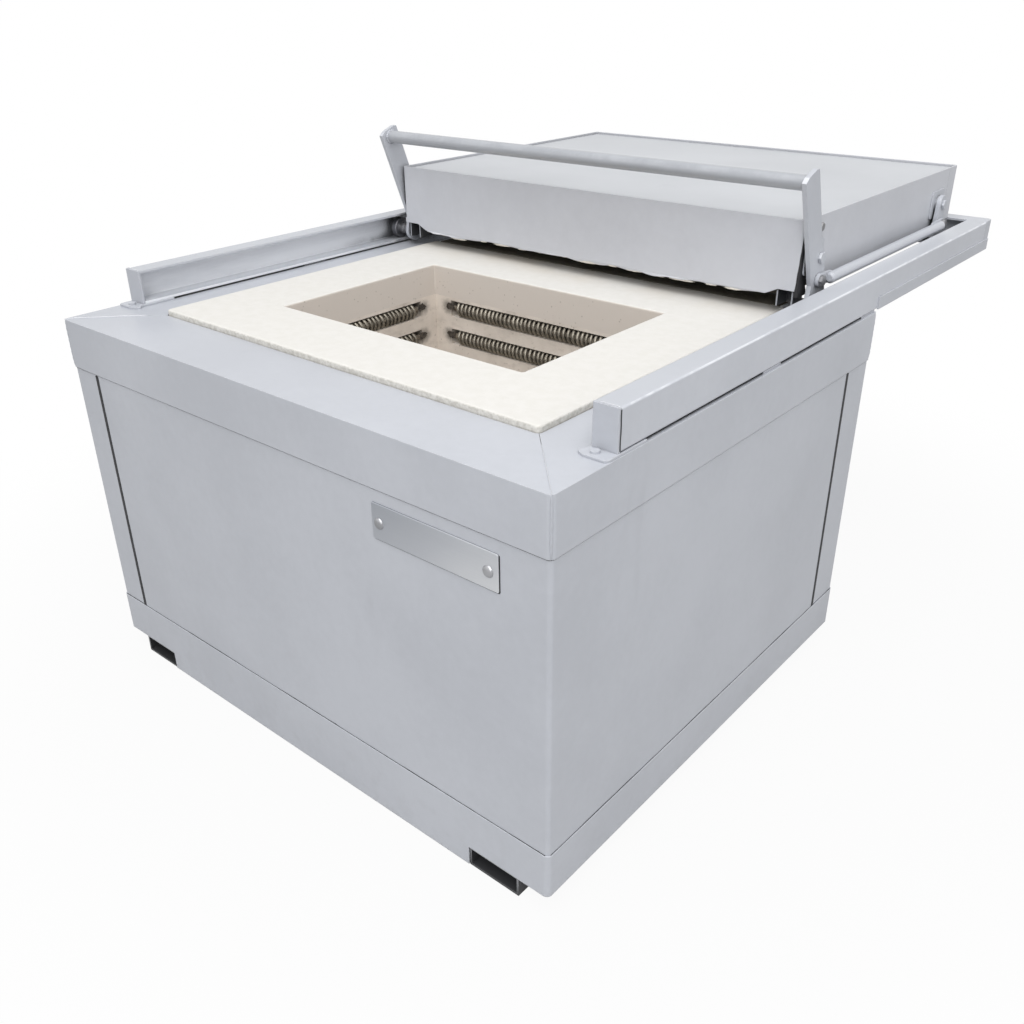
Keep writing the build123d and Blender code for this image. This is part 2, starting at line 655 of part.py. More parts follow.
def link_rod():
    """A round rod whose two ends are flattened to tongues that lie on the lever and the crank."""
    y0 = R_PLACE + L_OFFSET[0]
    y1 = y0 + AXLE_SPACING
    z = axle_z + L_OFFSET[1]
    x0 = lever_out + 0.5
    rod = rod_y(link_x, y0 + TONGUE_H, y1 - TONGUE_H, z, LINK_D / 2)
    rod = chamfer(rod.edges().filter_by(GeomType.CIRCLE), 4)
    for y, way in ((y0, 1), (y1, -1)):
        discs = [(y, z, TONGUE_H / 2), (y + way * TONGUE_L, z, TONGUE_H / 2 - 3)]
        rod += hull_plate(discs, x0, x0 + TONGUE_T)
        rod -= rod_x(x0 - 1, x0 + TONGUE_T + 1, y, z, LINK_PIN_R + FIT)
    return rod


def rear_crank():
    y, z = R_PLACE + AXLE_SPACING, axle_z
    discs = [(y, z, CRANK_EYE_LOW), (y + P_OFFSET[0], z + P_OFFSET[1], CRANK_EYE_HIGH)]
    plate = hull_plate(discs, lever_in, lever_out)
    plate -= rod_x(lever_in - 1, lever_out + 1, y, z, AXLE_R)
    plate -= rod_x(lever_in - 1, lever_out + 1, y + P_OFFSET[0], z + P_OFFSET[1], PIVOT_R + FIT)
    plate -= rod_x(lever_in - 1, lever_out + 1, y + L_OFFSET[0], z + L_OFFSET[1], LINK_PIN_R + FIT)
    return plate


def lid_casing():
    w = lid_w / 2
    t = HEAVY_SHEET
    walls = ring(lid_w, LID_FRONT, lid_back, lid_low, lid_top, t, LID_CORNER_R)
    low, notch = lid_low - SKIRT_DROP, lid_low - NOTCH_DROP
    x1 = w - NOTCH_IN
    x2 = x1 - NOTCH_SLOPE
    half_edge = [(x2, low), (x1, notch), (w, notch), (w, lid_low)]
    edge = half_edge + [(-x, z) for x, z in reversed(half_edge)]
    skirt = make_face(Polyline(*edge, close=True))
    walls += extrude(Plane.XZ.offset(-LID_FRONT - t) * skirt, t)
    y = lid_back - LID_SEAM
    walls -= block(-w - 1, -w + 1, y, y + 1.2, lid_low - 1, lid_top + 1)
    walls -= block(w - 1, w + 1, y, y + 1.2, lid_low - 1, lid_top + 1)
    return walls


def lid_top_sheet():
    w = lid_w - 2 * HEAVY_SHEET
    z = lid_top - LID_RECESS
    return rounded(w, LID_FRONT + HEAVY_SHEET, lid_back - HEAVY_SHEET, z - HEAVY_SHEET, z, 2)


def lid_frame():
    t = HEAVY_SHEET
    w, y0, y1 = lid_w - 2 * t, LID_FRONT + t, lid_back - t
    upright = ring(w, y0, y1, lid_low, lid_low + LID_FRAME_H, t, t + 0.5)
    flange = rounded(w, y0, y1, lid_low, lid_low + t, 2)
    f = LID_FLANGE
    return upright + (flange - block(-w / 2 + f, w / 2 - f, y0 + f, y1 - f, lid_low - 1, lid_low + t + 1))


def lid_insulation():
    m = HEAVY_SHEET * 2 + 0.5
    high = lid_top - LID_RECESS - HEAVY_SHEET
    slab = block(-lid_w / 2 + m, lid_w / 2 - m, LID_FRONT + m, lid_back - m, lid_low + HEAVY_SHEET, high)
    p = LID_PLUG_MARGIN
    plug = rounded(lid_w - 2 * p, LID_FRONT + p, lid_back - p, plug_low, lid_low + HEAVY_SHEET + 1, 6)
    return slab + plug


def lid_pivot(y):
    """A plate on the lid's side with a boss and a shouldered pin for the lever or crank."""
    z = axle_z + P_OFFSET[1]
    w = lid_w / 2
    plate = side_plate(Pos(y, z) * RectangleRounded(PIVOT_PLATE_L, PIVOT_PLATE_H, 8), w, w + PIVOT_PLATE)
    pivot = plate + rod_x(w, lever_in - RUN_CLEAR, y, z, PIVOT_BOSS_R)
    pivot += rod_x(lever_in - RUN_CLEAR, lever_out + RUN_CLEAR, y, z, PIVOT_R)
    head = Plane.YZ.offset(lever_out + RUN_CLEAR) * Pos(y, z) * RegularPolygon(PIVOT_HEAD_R, 6)
    return pivot + extrude(head, 5)


def lid_stop_peg():
    """The peg that the lever leans on when the lid is up."""
    lean = radians(ARM_LEAN)
    z = lid_top - PEG_DROP
    bar_y, bar_z = R_PLACE + BAR_OFFSET[0], axle_z + BAR_OFFSET[1]
    arm_mid = bar_y + (bar_z - z) * tan(lean)
    y = arm_mid + (ARM_W / 2 + PEG_R + RUN_CLEAR) / cos(lean)
    peg = rod_x(lid_w / 2, lever_out - 1, y, z, PEG_R)
    return chamfer(peg.edges().group_by(Axis.X)[-1], 1.5)


def lid_foot(y):
    """A small channel under the lid's corner that comes down on the top frame when the lid is shut."""
    low = BODY_H + lid_drop + RUN_CLEAR
    t = FOOT_T
    x1 = lid_w / 2 - FOOT_INSET
    x0 = x1 - FOOT_W
    foot = block(x0, x1, y, y + FOOT_L, low, lid_low)
    return foot - block(x0 + t, x1 - t, y - 1, y + FOOT_L - t, low - 1, lid_low - t)


def build_body():
    save("fork_pockets", fork_pockets())
    save("base_frame", base_frame())
    save("base_skirt", base_skirt())
    save("floor_pan", floor_pan())
    save("corner_posts", corner_posts())
    front, back = casings()
    save("casing_front_right", front)
    save("casing_back_left", back)
    for name, side in top_frame().items():
        save(f"top_frame_{name}", side)
    save("top_board", top_board())
    save("rear_strip", rear_strip())
    for name, wall in brick_walls().items():
        save(f"brick_{name}", wall)
    hearth, under, slabs = linings()
    save("chamber_floor", hearth)
    save("floor_insulation", under)
    save("side_insulation", slabs)


def build_elements():
    walls = ("back", "front", "left", "right")
    save("element_tubes", group([element_tube(wall, z) for wall in walls for z in row_heights]))
    save("coil_back_upper", sleeve_coil("back", row_heights[0]))
    save("coil_left_upper", sleeve_coil("left", row_heights[0]))
    rest = [sleeve_coil(wall, z) for wall in ("front", "right") for z in row_heights]
    rest += [sleeve_coil(wall, z) for wall in ("back", "left") for z in row_heights[1:]]
    save("element_coils", group(rest))
    save("element_terminals", element_terminals())
    save("thermocouple", thermocouple())
    box, cover = terminal_box()
    save("terminal_box", box)
    save("terminal_cover", cover)
    save("terminal_block", terminal_block())
    save("cable_gland", cable_gland())


def build_rails():
    right = rail_right()
    save("rail_right", right)
    save("rail_left", mirror(right, Plane.YZ))
    save("rail_cross_rear", rail_cross_rear())
    end, foot, packers, stiffener = rail_fittings()
    save("rail_end_plates", group(both(end)))
    save("rail_foot_plates", group(both(foot)))
    save("rail_packers", group([piece for packer in packers for piece in both(packer)]))
    save("rail_stiffeners", group(both(stiffener)))


def build_gear():
    rear = R_PLACE + AXLE_SPACING
    for side, place in (("right", None), ("left", Plane.YZ)):
        pieces = {f"axle_front_{side}": stub_axle(R_PLACE), f"roller_front_{side}": roller(R_PLACE),
                  f"roller_rear_{side}": roller(rear), f"lever_{side}": lever_right()}
        for node, piece in pieces.items():
            save(node, mirror(piece, place) if place else piece)
    save("handle_bar", handle_bar())
    save("link_pins_front", group(both(link_pin(R_PLACE + L_OFFSET[0]))))
    save("link_rods", group(both(link_rod())))
    save("rear_cranks", group(both(rear_crank())))
    save("rear_axles", group(both(stub_axle(rear))))
    save("link_pins_rear", group(both(link_pin(rear + L_OFFSET[0]))))


def build_lid():
    save("lid_casing", lid_casing())
    save("lid_top_sheet", lid_top_sheet())
    save("lid_frame", lid_frame())
    save("lid_insulation", lid_insulation())
    front_p = R_PLACE + P_OFFSET[0]
    save("lid_pivots", group(both(lid_pivot(front_p)) + both(lid_pivot(front_p + AXLE_SPACING))))
    save("lid_stop_pegs", group(both(lid_stop_peg())))
    front_y, rear_y = LID_FRONT + HEAVY_SHEET + 1, rail_end - REAR_FOOT_CLEAR - FOOT_L
    feet = both(lid_foot(front_y)) + both(lid_foot(rear_y))
    save("lid_feet", group(feet))


os.makedirs("parts", exist_ok=True)
build_body()
build_elements()
build_rails()
build_gear()
build_lid()
print(f"lid drop {lid_drop:.2f}, axle height {axle_z:.2f}, plug underside {plug_low:.2f}")
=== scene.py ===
"""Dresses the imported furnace: paint, fibre board, brick, wire coils, name plate and the small fittings."""
import json
import math

import bmesh
import bpy
from mathutils import Matrix, Vector


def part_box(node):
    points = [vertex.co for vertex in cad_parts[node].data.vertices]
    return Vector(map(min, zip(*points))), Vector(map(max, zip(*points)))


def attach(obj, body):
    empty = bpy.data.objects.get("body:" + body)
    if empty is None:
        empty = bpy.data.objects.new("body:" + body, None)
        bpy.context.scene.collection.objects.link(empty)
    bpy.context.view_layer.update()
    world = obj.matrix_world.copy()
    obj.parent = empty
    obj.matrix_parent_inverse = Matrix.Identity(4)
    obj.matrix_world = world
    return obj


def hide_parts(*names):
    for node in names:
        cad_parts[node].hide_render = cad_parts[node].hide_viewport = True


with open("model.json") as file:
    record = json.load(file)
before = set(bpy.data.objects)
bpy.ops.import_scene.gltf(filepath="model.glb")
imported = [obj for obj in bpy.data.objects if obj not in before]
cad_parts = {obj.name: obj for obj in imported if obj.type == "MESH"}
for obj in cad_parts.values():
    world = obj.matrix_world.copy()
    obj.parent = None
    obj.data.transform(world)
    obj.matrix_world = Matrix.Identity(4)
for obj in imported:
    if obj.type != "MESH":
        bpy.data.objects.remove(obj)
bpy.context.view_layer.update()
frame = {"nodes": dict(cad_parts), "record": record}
bpy.ops.object.select_all(action="DESELECT")
nodes = frame["nodes"]

# Sizes are in millimetres: x from the middle, y back from the front face, z up from the floor
MM = 0.001
QUARTER_TURN = math.pi / 2
ORIGIN_BACK = 832.5
PANEL_Y = 2.0
PLATE_X = (257.0, 509.0)
PLATE_Z = (570.0, 632.0)
RAIL_WEB_X = 593.5
CUT_FACE = 5
CHAMBER_X = 303.0
CHAMBER_FRONT = 301.0
CHAMBER_BACK = 721.0
CHAMBER_MID = (CHAMBER_FRONT + CHAMBER_BACK) / 2
ROWS = (667.0, 602.0, 537.0, 472.0)
LONG_HALF = 235.0
SHORT_HALF = 142.0
HOLE_PAST_COIL = 22.0
HOLE_RISE = 4.0


# Shader maths
class Shade:
    """One output of a node. Sums on it add Math nodes."""

    def __init__(self, tree, socket):
        self.tree = tree
        self.socket = socket

    def math(self, operation, *values):
        return add_node(self.tree, "ShaderNodeMath", {"operation": operation}, dict(enumerate(values)))

    def __add__(self, other):
        return self.math("ADD", self, other)

    def __radd__(self, other):
        return self.math("ADD", other, self)

    def __sub__(self, other):
        return self.math("SUBTRACT", self, other)

    def __rsub__(self, other):
        return self.math("SUBTRACT", other, self)

    def __mul__(self, other):
        return self.math("MULTIPLY", self, other)

    def __rmul__(self, other):
        return self.math("MULTIPLY", other, self)

    def __pow__(self, other):
        return self.math("POWER", self, other)

    def __gt__(self, other):
        return self.math("GREATER_THAN", self, other)

    def __lt__(self, other):
        return self.math("LESS_THAN", self, other)

    def __abs__(self):
        return self.math("ABSOLUTE", self)

    def bounced(self, span):
        """Runs up and down between 0 and span."""
        return self.math("PINGPONG", self, span)

    def clipped(self):
        return add_node(self.tree, "ShaderNodeClamp", {}, {0: self})

    def between(self, low, high):
        """0 under low, 1 over high, smooth in between."""
        return add_node(self.tree, "ShaderNodeMapRange", {"interpolation_type": "SMOOTHSTEP"},
                        {0: self, 1: low, 2: high})


def feed(tree, socket, value):
    """Sets a socket to a number or colour, or links it."""
    if isinstance(value, Shade):
        tree.links.new(value.socket, socket)
    else:
        socket.default_value = value


def add_node(tree, kind, settings, inputs, output=0):
    """Adds a node: first its settings, then the values or links of its sockets."""
    node = tree.nodes.new(kind)
    for key, value in settings.items():
        setattr(node, key, value)
    for key, value in inputs.items():
        feed(tree, node.inputs[key], value)
    return Shade(tree, node.outputs[output])


def linear(red, green, blue):
    """An sRGB colour of 0 to 255 as the shader's linear one."""
    def one(value):
        value /= 255
        return value / 12.92 if value <= 0.04045 else ((value + 0.055) / 1.055) ** 2.4
    return (one(red), one(green), one(blue), 1.0)


def stepped(colour, step):
    """A colour made paler, or darker with a step below 0."""
    return linear(*[part + step for part in colour])


class Finish:
    """A material with one Principled shader, on Object coordinates."""

    def __init__(self, name):
        self.material = bpy.data.materials.new(name)
        self.material.use_nodes = True
        self.tree = self.material.node_tree
        self.shader = next(n for n in self.tree.nodes if n.type == "BSDF_PRINCIPLED")
        self.place = self.node("ShaderNodeTexCoord", {}, {}, "Object")

    def node(self, kind, settings, inputs, output=0):
        return add_node(self.tree, kind, settings, inputs, output)

    def ramp(self, factor, stops):
        shade = self.node("ShaderNodeValToRGB", {}, {0: factor})
        band = shade.socket.node.color_ramp
        while len(band.elements) < len(stops):
            band.elements.new(0.5)
        for element, (position, colour) in zip(band.elements, stops):
            element.position = position
            element.color = colour
        return shade

    def noise(self, scale, detail=3.0, rough=0.5, place=None):
        return self.node("ShaderNodeTexNoise", {}, {
            "Vector": place or self.place, "Scale": scale, "Detail": detail, "Roughness": rough})

    def cells(self, scale):
        """The distance to the nearest of scattered points."""
        return self.node("ShaderNodeTexVoronoi", {}, {"Vector": self.place, "Scale": scale})

    def stretched(self, x, y, z):
        return self.node("ShaderNodeMapping", {}, {"Vector": self.place, "Scale": (x, y, z)})

    def mix(self, factor, first, second):
        return self.node("ShaderNodeMix", {"data_type": "RGBA"}, {0: factor, 6: first, 7: second}, 2)

    def stain(self, mask, tone, colour):
        """Lays a colour of 0 to 255 over the tone where the mask is up."""
        return self.mix(mask, tone, linear(*colour))

    def axis(self, name):
        return self.node("ShaderNodeSeparateXYZ", {}, {0: self.place}, name)

    def surface(self):
        return self.node("ShaderNodeNewGeometry", {}, {}, "Normal")

    def facing(self, name):
        return self.node("ShaderNodeSeparateXYZ", {}, {0: self.surface()}, name)

    def rounded(self, radius, samples=6):
        return self.node("ShaderNodeBevel", {"samples": samples}, {"Radius": radius})

    def edge(self, radius):
        """0 on flats, towards 1 along edges."""
        return 1 - self.node("ShaderNodeVectorMath", {"operation": "DOT_PRODUCT"},
                             {0: self.rounded(radius), 1: self.surface()}, "Value")

    def crevice(self, reach, samples=6):
        """0 out in the open, towards 1 deep in gaps and hollows."""
        return 1 - self.node("ShaderNodeAmbientOcclusion", {"samples": samples}, {"Distance": reach}, "AO")

    def set(self, **values):
        for key, value in values.items():
            feed(self.tree, self.shader.inputs[key.replace("_", " ")], value)
        return self.material

    def bump(self, height, distance, strength=1.0, under=None):
        values = {"Height": height, "Distance": distance, "Strength": strength}
        if under is not None:
            values["Normal"] = under
        return self.node("ShaderNodeBump", {}, values)


# Colours of wear and dirt on the paint, and of its painted highlights and painted shade
BEND_HIGHLIGHT = (236, 238, 241)
EDGE_HIGHLIGHT_AND_WEAR = (226, 228, 232)
CHIPPED = (120, 122, 126)
SCUFFED = (146, 146, 148)
STREAK_TONE = (150, 151, 158)
CHANNEL_LIFT_LIGHT = (236, 238, 242)
GAP_SHADE = (26, 26, 28)
ROLLER_HOLLOW_SHADE = (48, 49, 52)
TOP_SHADE = (172, 175, 181)


def grey_paint(name, colour, inside=(0.16, 0.8, 0.97), shine=0.2, highlight_and_wear=0.5, rail=False):
    """Satin light grey paint: soft clouding, faint orange peel, painted highlights along edges and bends,
    dirt low down and painted shade in gaps and hollows.

    inside is how far it looks for walls around it, and from which share of them it goes dark as painted
    shade. shine is the weight of its coat, and highlight_and_wear is how pale its edges and bends are
    painted: painted highlight, with some rubbed wear on the edges. A rail has paler streaks on its shaded
    inside as painted light, painted shade in its hollows around the rollers, and darker upward faces as
    painted shade.
    """
    paint = Finish(name)
    cloud = paint.noise(3.1, 4.0, 0.55)
    fine = paint.noise(60.0, 3.0, 0.6)
    peel = paint.noise(900.0, 2.0, 0.5)
    tone = paint.mix((cloud * 0.75 + fine * 0.25).between(0.3, 0.7), stepped(colour, -5), stepped(colour, 4))
    up = paint.facing("Z")
    level = up.between(0.8, 0.97)
    bend = up.between(0.12, 0.4) * (1 - level)
    # Paler along the sloped bends, broken up with noise: painted highlight
    bend_highlight = bend * paint.noise(14.0, 4.0, 0.65).between(0.4, 0.6)
    tone = paint.stain(bend_highlight * highlight_and_wear, tone, BEND_HIGHLIGHT)
    # Paler along sharp edges: painted highlight, with some rubbed wear
    edge = paint.edge(0.0025).between(0.06, 0.32)
    tone = paint.stain(edge * (0.1 + highlight_and_wear), tone, EDGE_HIGHLIGHT_AND_WEAR)
    chips = (edge * paint.noise(240.0, 4.0, 0.6).between(0.62, 0.7)).clipped()
    tone = paint.stain(chips * 0.5, tone, CHIPPED)
    low = 1 - paint.axis("Z").between(0.02, 0.16)
    scuff = low * paint.noise(26.0, 5.0, 0.65).between(0.5, 0.66)
    tone = paint.stain(scuff * 0.1, tone, SCUFFED)
    # Faint darker streaks, stretched upright
    upright_streaks = paint.noise(7.0, 4.0, 0.6, paint.stretched(1.0, 1.0, 0.25)).between(0.62, 0.78)
    tone = paint.stain(upright_streaks * 0.12, tone, STREAK_TONE)
    if rail:
        # Paler inner faces of the channel, with streaks along the rail: painted light that lifts their shade
        streak = paint.noise(22.0, 4.0, 0.6, paint.stretched(1.0, 0.12, 1.0)).between(0.3, 0.6)
        channel_lift = paint.crevice(0.04, 12).between(0.02, 0.2) * (abs(paint.axis("X")) < RAIL_WEB_X * MM)
        tone = paint.stain(channel_lift * (streak * 0.4 + 0.5), tone, CHANNEL_LIFT_LIGHT)
    # Dark in narrow gaps and deep hollows, found by occlusion: painted shade
    gap = paint.crevice(0.022).between(0.6, 0.86)
    hollow = paint.crevice(inside[0], 16).between(inside[1], inside[2])
    tone = paint.stain((gap * 0.9 + hollow * 0.9).clipped(), tone, GAP_SHADE)
    if rail:
        # Dark patches in the channel's hollows around the rollers: painted shade
        back = paint.axis("Y")
        near = back.between(-0.19, 0.0) * (1 - back.between(0.08, 0.2))
        patch = paint.noise(20.0, 4.0, 0.6).between(0.25, 0.6)
        inner = paint.crevice(0.04, 12).between(0.25, 0.6)
        tone = paint.stain(near * patch * inner * 0.88, tone, ROLLER_HOLLOW_SHADE)
        # Upward faces of the rails darker: painted shade that tones down the light they catch
        tone = paint.stain(level * 0.5, tone, TOP_SHADE)
    wavy = paint.bump(paint.noise(5.5, 2.0, 0.4), 0.004, 0.25, paint.rounded(0.0018))
    return paint.set(Base_Color=tone, Roughness=0.32 + fine * 0.1 + upright_streaks * 0.08,
                     Normal=paint.bump(peel, 0.00006, 0.5, wavy), Coat_Weight=shine, Coat_Roughness=0.18)


def fibre_board():
    """Off-white pressed fibre: soft mottling, specks, pits, a warm stain along the back, torn cut edges."""
    board = Finish("pressed_fibre_board")
    mottle = board.noise(46.0, 6.0, 0.65)
    hair = board.noise(420.0, 5.0, 0.7)
    tone = board.mix(mottle.between(0.32, 0.68), linear(214, 212, 207), linear(218, 216, 212))
    speck = board.noise(190.0, 3.0, 0.5).between(0.7, 0.78)
    tone = board.stain(speck * 0.14, tone, (184, 176, 162))
    cut = 1 - board.facing("Z").between(0.35, 0.85)
    x, y = board.axis("X"), board.axis("Y")
    front = (CHAMBER_FRONT - ORIGIN_BACK - CUT_FACE) * MM
    back = (CHAMBER_BACK - ORIGIN_BACK + CUT_FACE) * MM
    opening = (abs(x) < (CHAMBER_X + CUT_FACE) * MM) * (y > front) * (y < back)
    torn = board.noise(150.0, 5.0, 0.7).between(0.35, 0.65)
    torn = board.mix(torn, linear(184, 181, 173), linear(214, 212, 206))
    tone = board.mix(cut * 0.85, tone, board.mix(opening, torn, linear(207, 198, 189)))
    marks = board.cells(95.0).between(0.1, 0.22)
    patchy = board.noise(34.0, 3.0, 0.5).between(0.48, 0.62)
    tone = board.stain((1 - marks) * cut * opening * patchy * 0.4, tone, (120, 110, 100))
    warm = (y.between(-0.095, 0.05) * board.noise(6.0, 4.0, 0.6).between(0.3, 0.75)).clipped()
    tone = board.stain(warm * 0.55, tone, (206, 194, 176))
    pits = board.cells(160.0).between(0.0, 0.16)
    height = hair * 0.5 + mottle * 0.4 + pits * 0.15
    return board.set(Base_Color=tone, Roughness=0.93, Normal=board.bump(height, 0.0007, 0.6))


def fire_brick(name, colour, soot, scorched=False):
    """Porous pale brick with open pits darkened as painted shade, smoke marks, and scorch round the holes of
    the coils' ends.
    """
    brick = Finish(name)
    grain = brick.noise(120.0, 6.0, 0.65)
    cloud = brick.noise(9.0, 4.0, 0.6)
    tone = brick.mix(cloud.between(0.3, 0.7), stepped(colour, -12), stepped(colour, 8))
    # Dark in the pits: painted shade
    holes = (1 - brick.cells(105.0).between(0.1, 0.24)) * grain.between(0.48, 0.58)
    tone = brick.stain(holes * 0.45, tone, (112, 102, 92))
    smoke = brick.noise(17.0, 5.0, 0.65, brick.stretched(1.0, 1.0, 2.2)).between(0.5, 0.74)
    tone = brick.stain(smoke * soot, tone, (122, 112, 102))
    if scorched:
        z = brick.axis("Z")
        off_row = (z - (ROWS[0] + HOLE_RISE) * MM).bounced((ROWS[0] - ROWS[1]) * MM / 2)
        middle = (CHAMBER_MID - ORIGIN_BACK) * MM
        long_end = abs(brick.axis("X")) - (LONG_HALF + HOLE_PAST_COIL) * MM
        short_end = abs(brick.axis("Y") - middle) - (SHORT_HALF + HOLE_PAST_COIL) * MM
        ragged = brick.noise(60.0, 4.0, 0.7) * 0.02
        for end in (long_end, short_end):
            reach = (end * end * 0.5 + off_row * off_row) ** 0.5 + ragged
            tone = brick.stain((1 - reach.between(0.012, 0.034)) * (z > 0.44) * 0.8, tone, (58, 53, 46))
    height = grain * 0.6 - holes * 0.6
    return brick.set(Base_Color=tone, Roughness=0.95, Normal=brick.bump(height, 0.0012, 0.6))


def element_wire():
    """Oxidised resistance wire: dark brown-grey with patches of paler scale."""
    wire = Finish("element_wire")
    scale = wire.noise(330.0, 4.0, 0.6)
    patch = wire.noise(24.0, 3.0, 0.6)
    tone = wire.ramp((scale * 0.5 + patch * 0.5).clipped(), [
        (0.3, linear(98, 93, 84)), (0.52, linear(140, 134, 123)), (0.72, linear(182, 176, 164))])
    return wire.set(Base_Color=tone, Roughness=0.34 + scale * 0.25, Normal=wire.bump(scale, 0.0002, 0.4),
                    Metallic=0.75)


def element_tube():
    """The coils' ceramic tubes, stained by heat."""
    tube = Finish("element_tube")
    stain = tube.noise(40.0, 4.0, 0.6)
    tone = tube.mix(stain.between(0.35, 0.65), linear(118, 106, 92), linear(186, 176, 160))
    return tube.set(Base_Color=tone, Roughness=0.8, Normal=tube.bump(stain, 0.0003, 0.4))


def plain_steel(name, colour, rough, turned):
    """Bare steel with fine marks left by turning or drawing."""
    steel = Finish(name)
    grain = steel.noise(260.0, 4.0, 0.6, steel.stretched(turned, 1.0, 1.0))
    cloud = steel.noise(30.0, 3.0, 0.5)
    tone = steel.mix(cloud.between(0.3, 0.7), stepped(colour, -14), stepped(colour, 10))
    return steel.set(Base_Color=tone, Roughness=rough + grain * 0.18, Metallic=0.85,
                     Normal=steel.bump(grain, 0.00008, 0.4, steel.rounded(0.0008, 4)))


def brushed_plate():
    """The bare plate's long brushed grain, with a slow light and dark sweep along it, lighter towards the
    right and the bottom as painted sheen, and painted shade close to its rivets and edges.
    """
    plate = Finish("brushed_plate")
    grain = plate.noise(1500.0, 4.0, 0.6, plate.stretched(0.02, 1.0, 1.0))
    sweep = plate.noise(5.0, 1.0, 0.4, plate.stretched(1.0, 1.0, 0.3))
    along = plate.axis("X").between(PLATE_X[0] * MM, PLATE_X[1] * MM)
    down = plate.axis("Z").between(PLATE_Z[1] * MM, PLATE_Z[0] * MM)
    # Lighter towards the right and the bottom: painted sheen
    sheen_slope = (along * 0.45 + down * 0.15 + sweep * 0.25 + grain * 0.15).clipped()
    tone = plate.ramp(sheen_slope, [
        (0.15, linear(176, 180, 187)), (0.5, linear(200, 203, 209)), (0.8, linear(228, 230, 233))])
    # Dark close to the rivets and round the plate's raised edges: painted shade
    tone = plate.stain(plate.crevice(0.006, 12).between(0.2, 0.6) * 0.8, tone, (84, 86, 90))
    return plate.set(Base_Color=tone, Roughness=0.34 + grain * 0.12, Normal=plate.bump(grain, 0.00003, 0.35),
                     Metallic=0.8)


def black_moulding():
    """Black rubber and plastic with a fine grain."""
    plastic = Finish("black_moulding")
    grain = plastic.noise(700.0, 2.0, 0.5)
    tone = plastic.mix(plastic.noise(25.0).between(0.3, 0.7), linear(30, 30, 32), linear(44, 44, 47))
    return plastic.set(Base_Color=tone, Roughness=0.5 + grain * 0.1, Normal=plastic.bump(grain, 0.0001, 0.5))


def scorched_fibre(name, dark, pale):
    """Ceramic fibre, browned and sooty from the heat."""
    fibre = Finish(name)
    wool = fibre.noise(180.0, 6.0, 0.7)
    burn = fibre.noise(9.0, 5.0, 0.6)
    tone = fibre.mix(burn.between(0.34, 0.66), linear(*dark), linear(*pale))
    return fibre.set(Base_Color=tone, Roughness=0.96, Normal=fibre.bump(wool * 0.7 + burn * 0.5, 0.002, 0.7))


def dark_scorch():
    """The burnt rim of the holes in the brick."""
    scorch = Finish("scorched_brick")
    grain = scorch.noise(160.0, 5.0, 0.7)
    tone = scorch.mix(grain.between(0.35, 0.65), linear(42, 38, 34), linear(86, 78, 70))
    return scorch.set(Base_Color=tone, Roughness=0.95, Normal=scorch.bump(grain, 0.0008, 0.6))


PAINT = grey_paint("light_grey_paint", (184, 187, 194))
# A darker copy of the grey paint for the fork pockets, dark early in its hollows: painted shade
POCKET_SHADED_PAINT = grey_paint("pocket_shaded_paint", (146, 148, 152), (0.11, 0.22, 0.5))
# A paler copy of the grey paint for the lid: painted light that makes up for the light the lid gets less of
LID_PAINT_LIGHTENED = grey_paint("lid_paint_lightened", (194, 196, 202))
FIELD_PAINT = grey_paint("lid_field_paint", (186, 189, 194))
ROD_PAINT = grey_paint("rod_paint", (180, 183, 190), highlight_and_wear=0.0)
# A darker copy of the grey paint for the handle bar: painted shade that tones down the light on it
BAR_PAINT_DARKENED = grey_paint("bar_paint_darkened", (160, 163, 169), shine=0.9, highlight_and_wear=0.1)
WELD_PAINT = grey_paint("weld_paint", (198, 200, 205), highlight_and_wear=0.2)
# A darker copy of the grey paint for the lid's feet, dark early in its hollows: painted shade
FOOT_PAINT_DARKENED = grey_paint("foot_paint_darkened", (152, 155, 161), (0.08, 0.3, 0.56), highlight_and_wear=0.1)
# A paler copy of the grey paint for the rails, whose hollows go dark only late: painted light for rails in
# shade
CHANNEL_PAINT_LIGHTENED = grey_paint("channel_paint_lightened", (192, 195, 202), (0.05, 0.75, 1.1), rail=True)
TRIM_PAINT_WHITENED = grey_paint("trim_paint_whitened", (240, 241, 243), (0.16, 0.98, 1.0), highlight_and_wear=0.0)
BOARD = fibre_board()
BRICK = fire_brick("fire_brick", (215, 206, 196), 0.3, True)
FILLING = fire_brick("fibre_filling", (222, 218, 208), 0.1)
WIRE = element_wire()
TUBE = element_tube()
STEEL = plain_steel("bare_steel", (150, 150, 152), 0.34, 1.0)
ROLLER = plain_steel("roller_steel", (128, 128, 132), 0.28, 0.2)
RIVET = plain_steel("rivet_steel", (176, 177, 180), 0.3, 1.0)
PLATE = brushed_plate()
BLACK = black_moulding()
LID_FIBRE = scorched_fibre("scorched_fibre", (62, 59, 53), (104, 98, 88))
# The strip's fibre is paler than its own dark colour: painted light for the shade under the lid
STRIP_LIGHTENED = scorched_fibre("dark_strip_fibre_lightened", (112, 107, 96), (142, 136, 123))
SCORCH = dark_scorch()

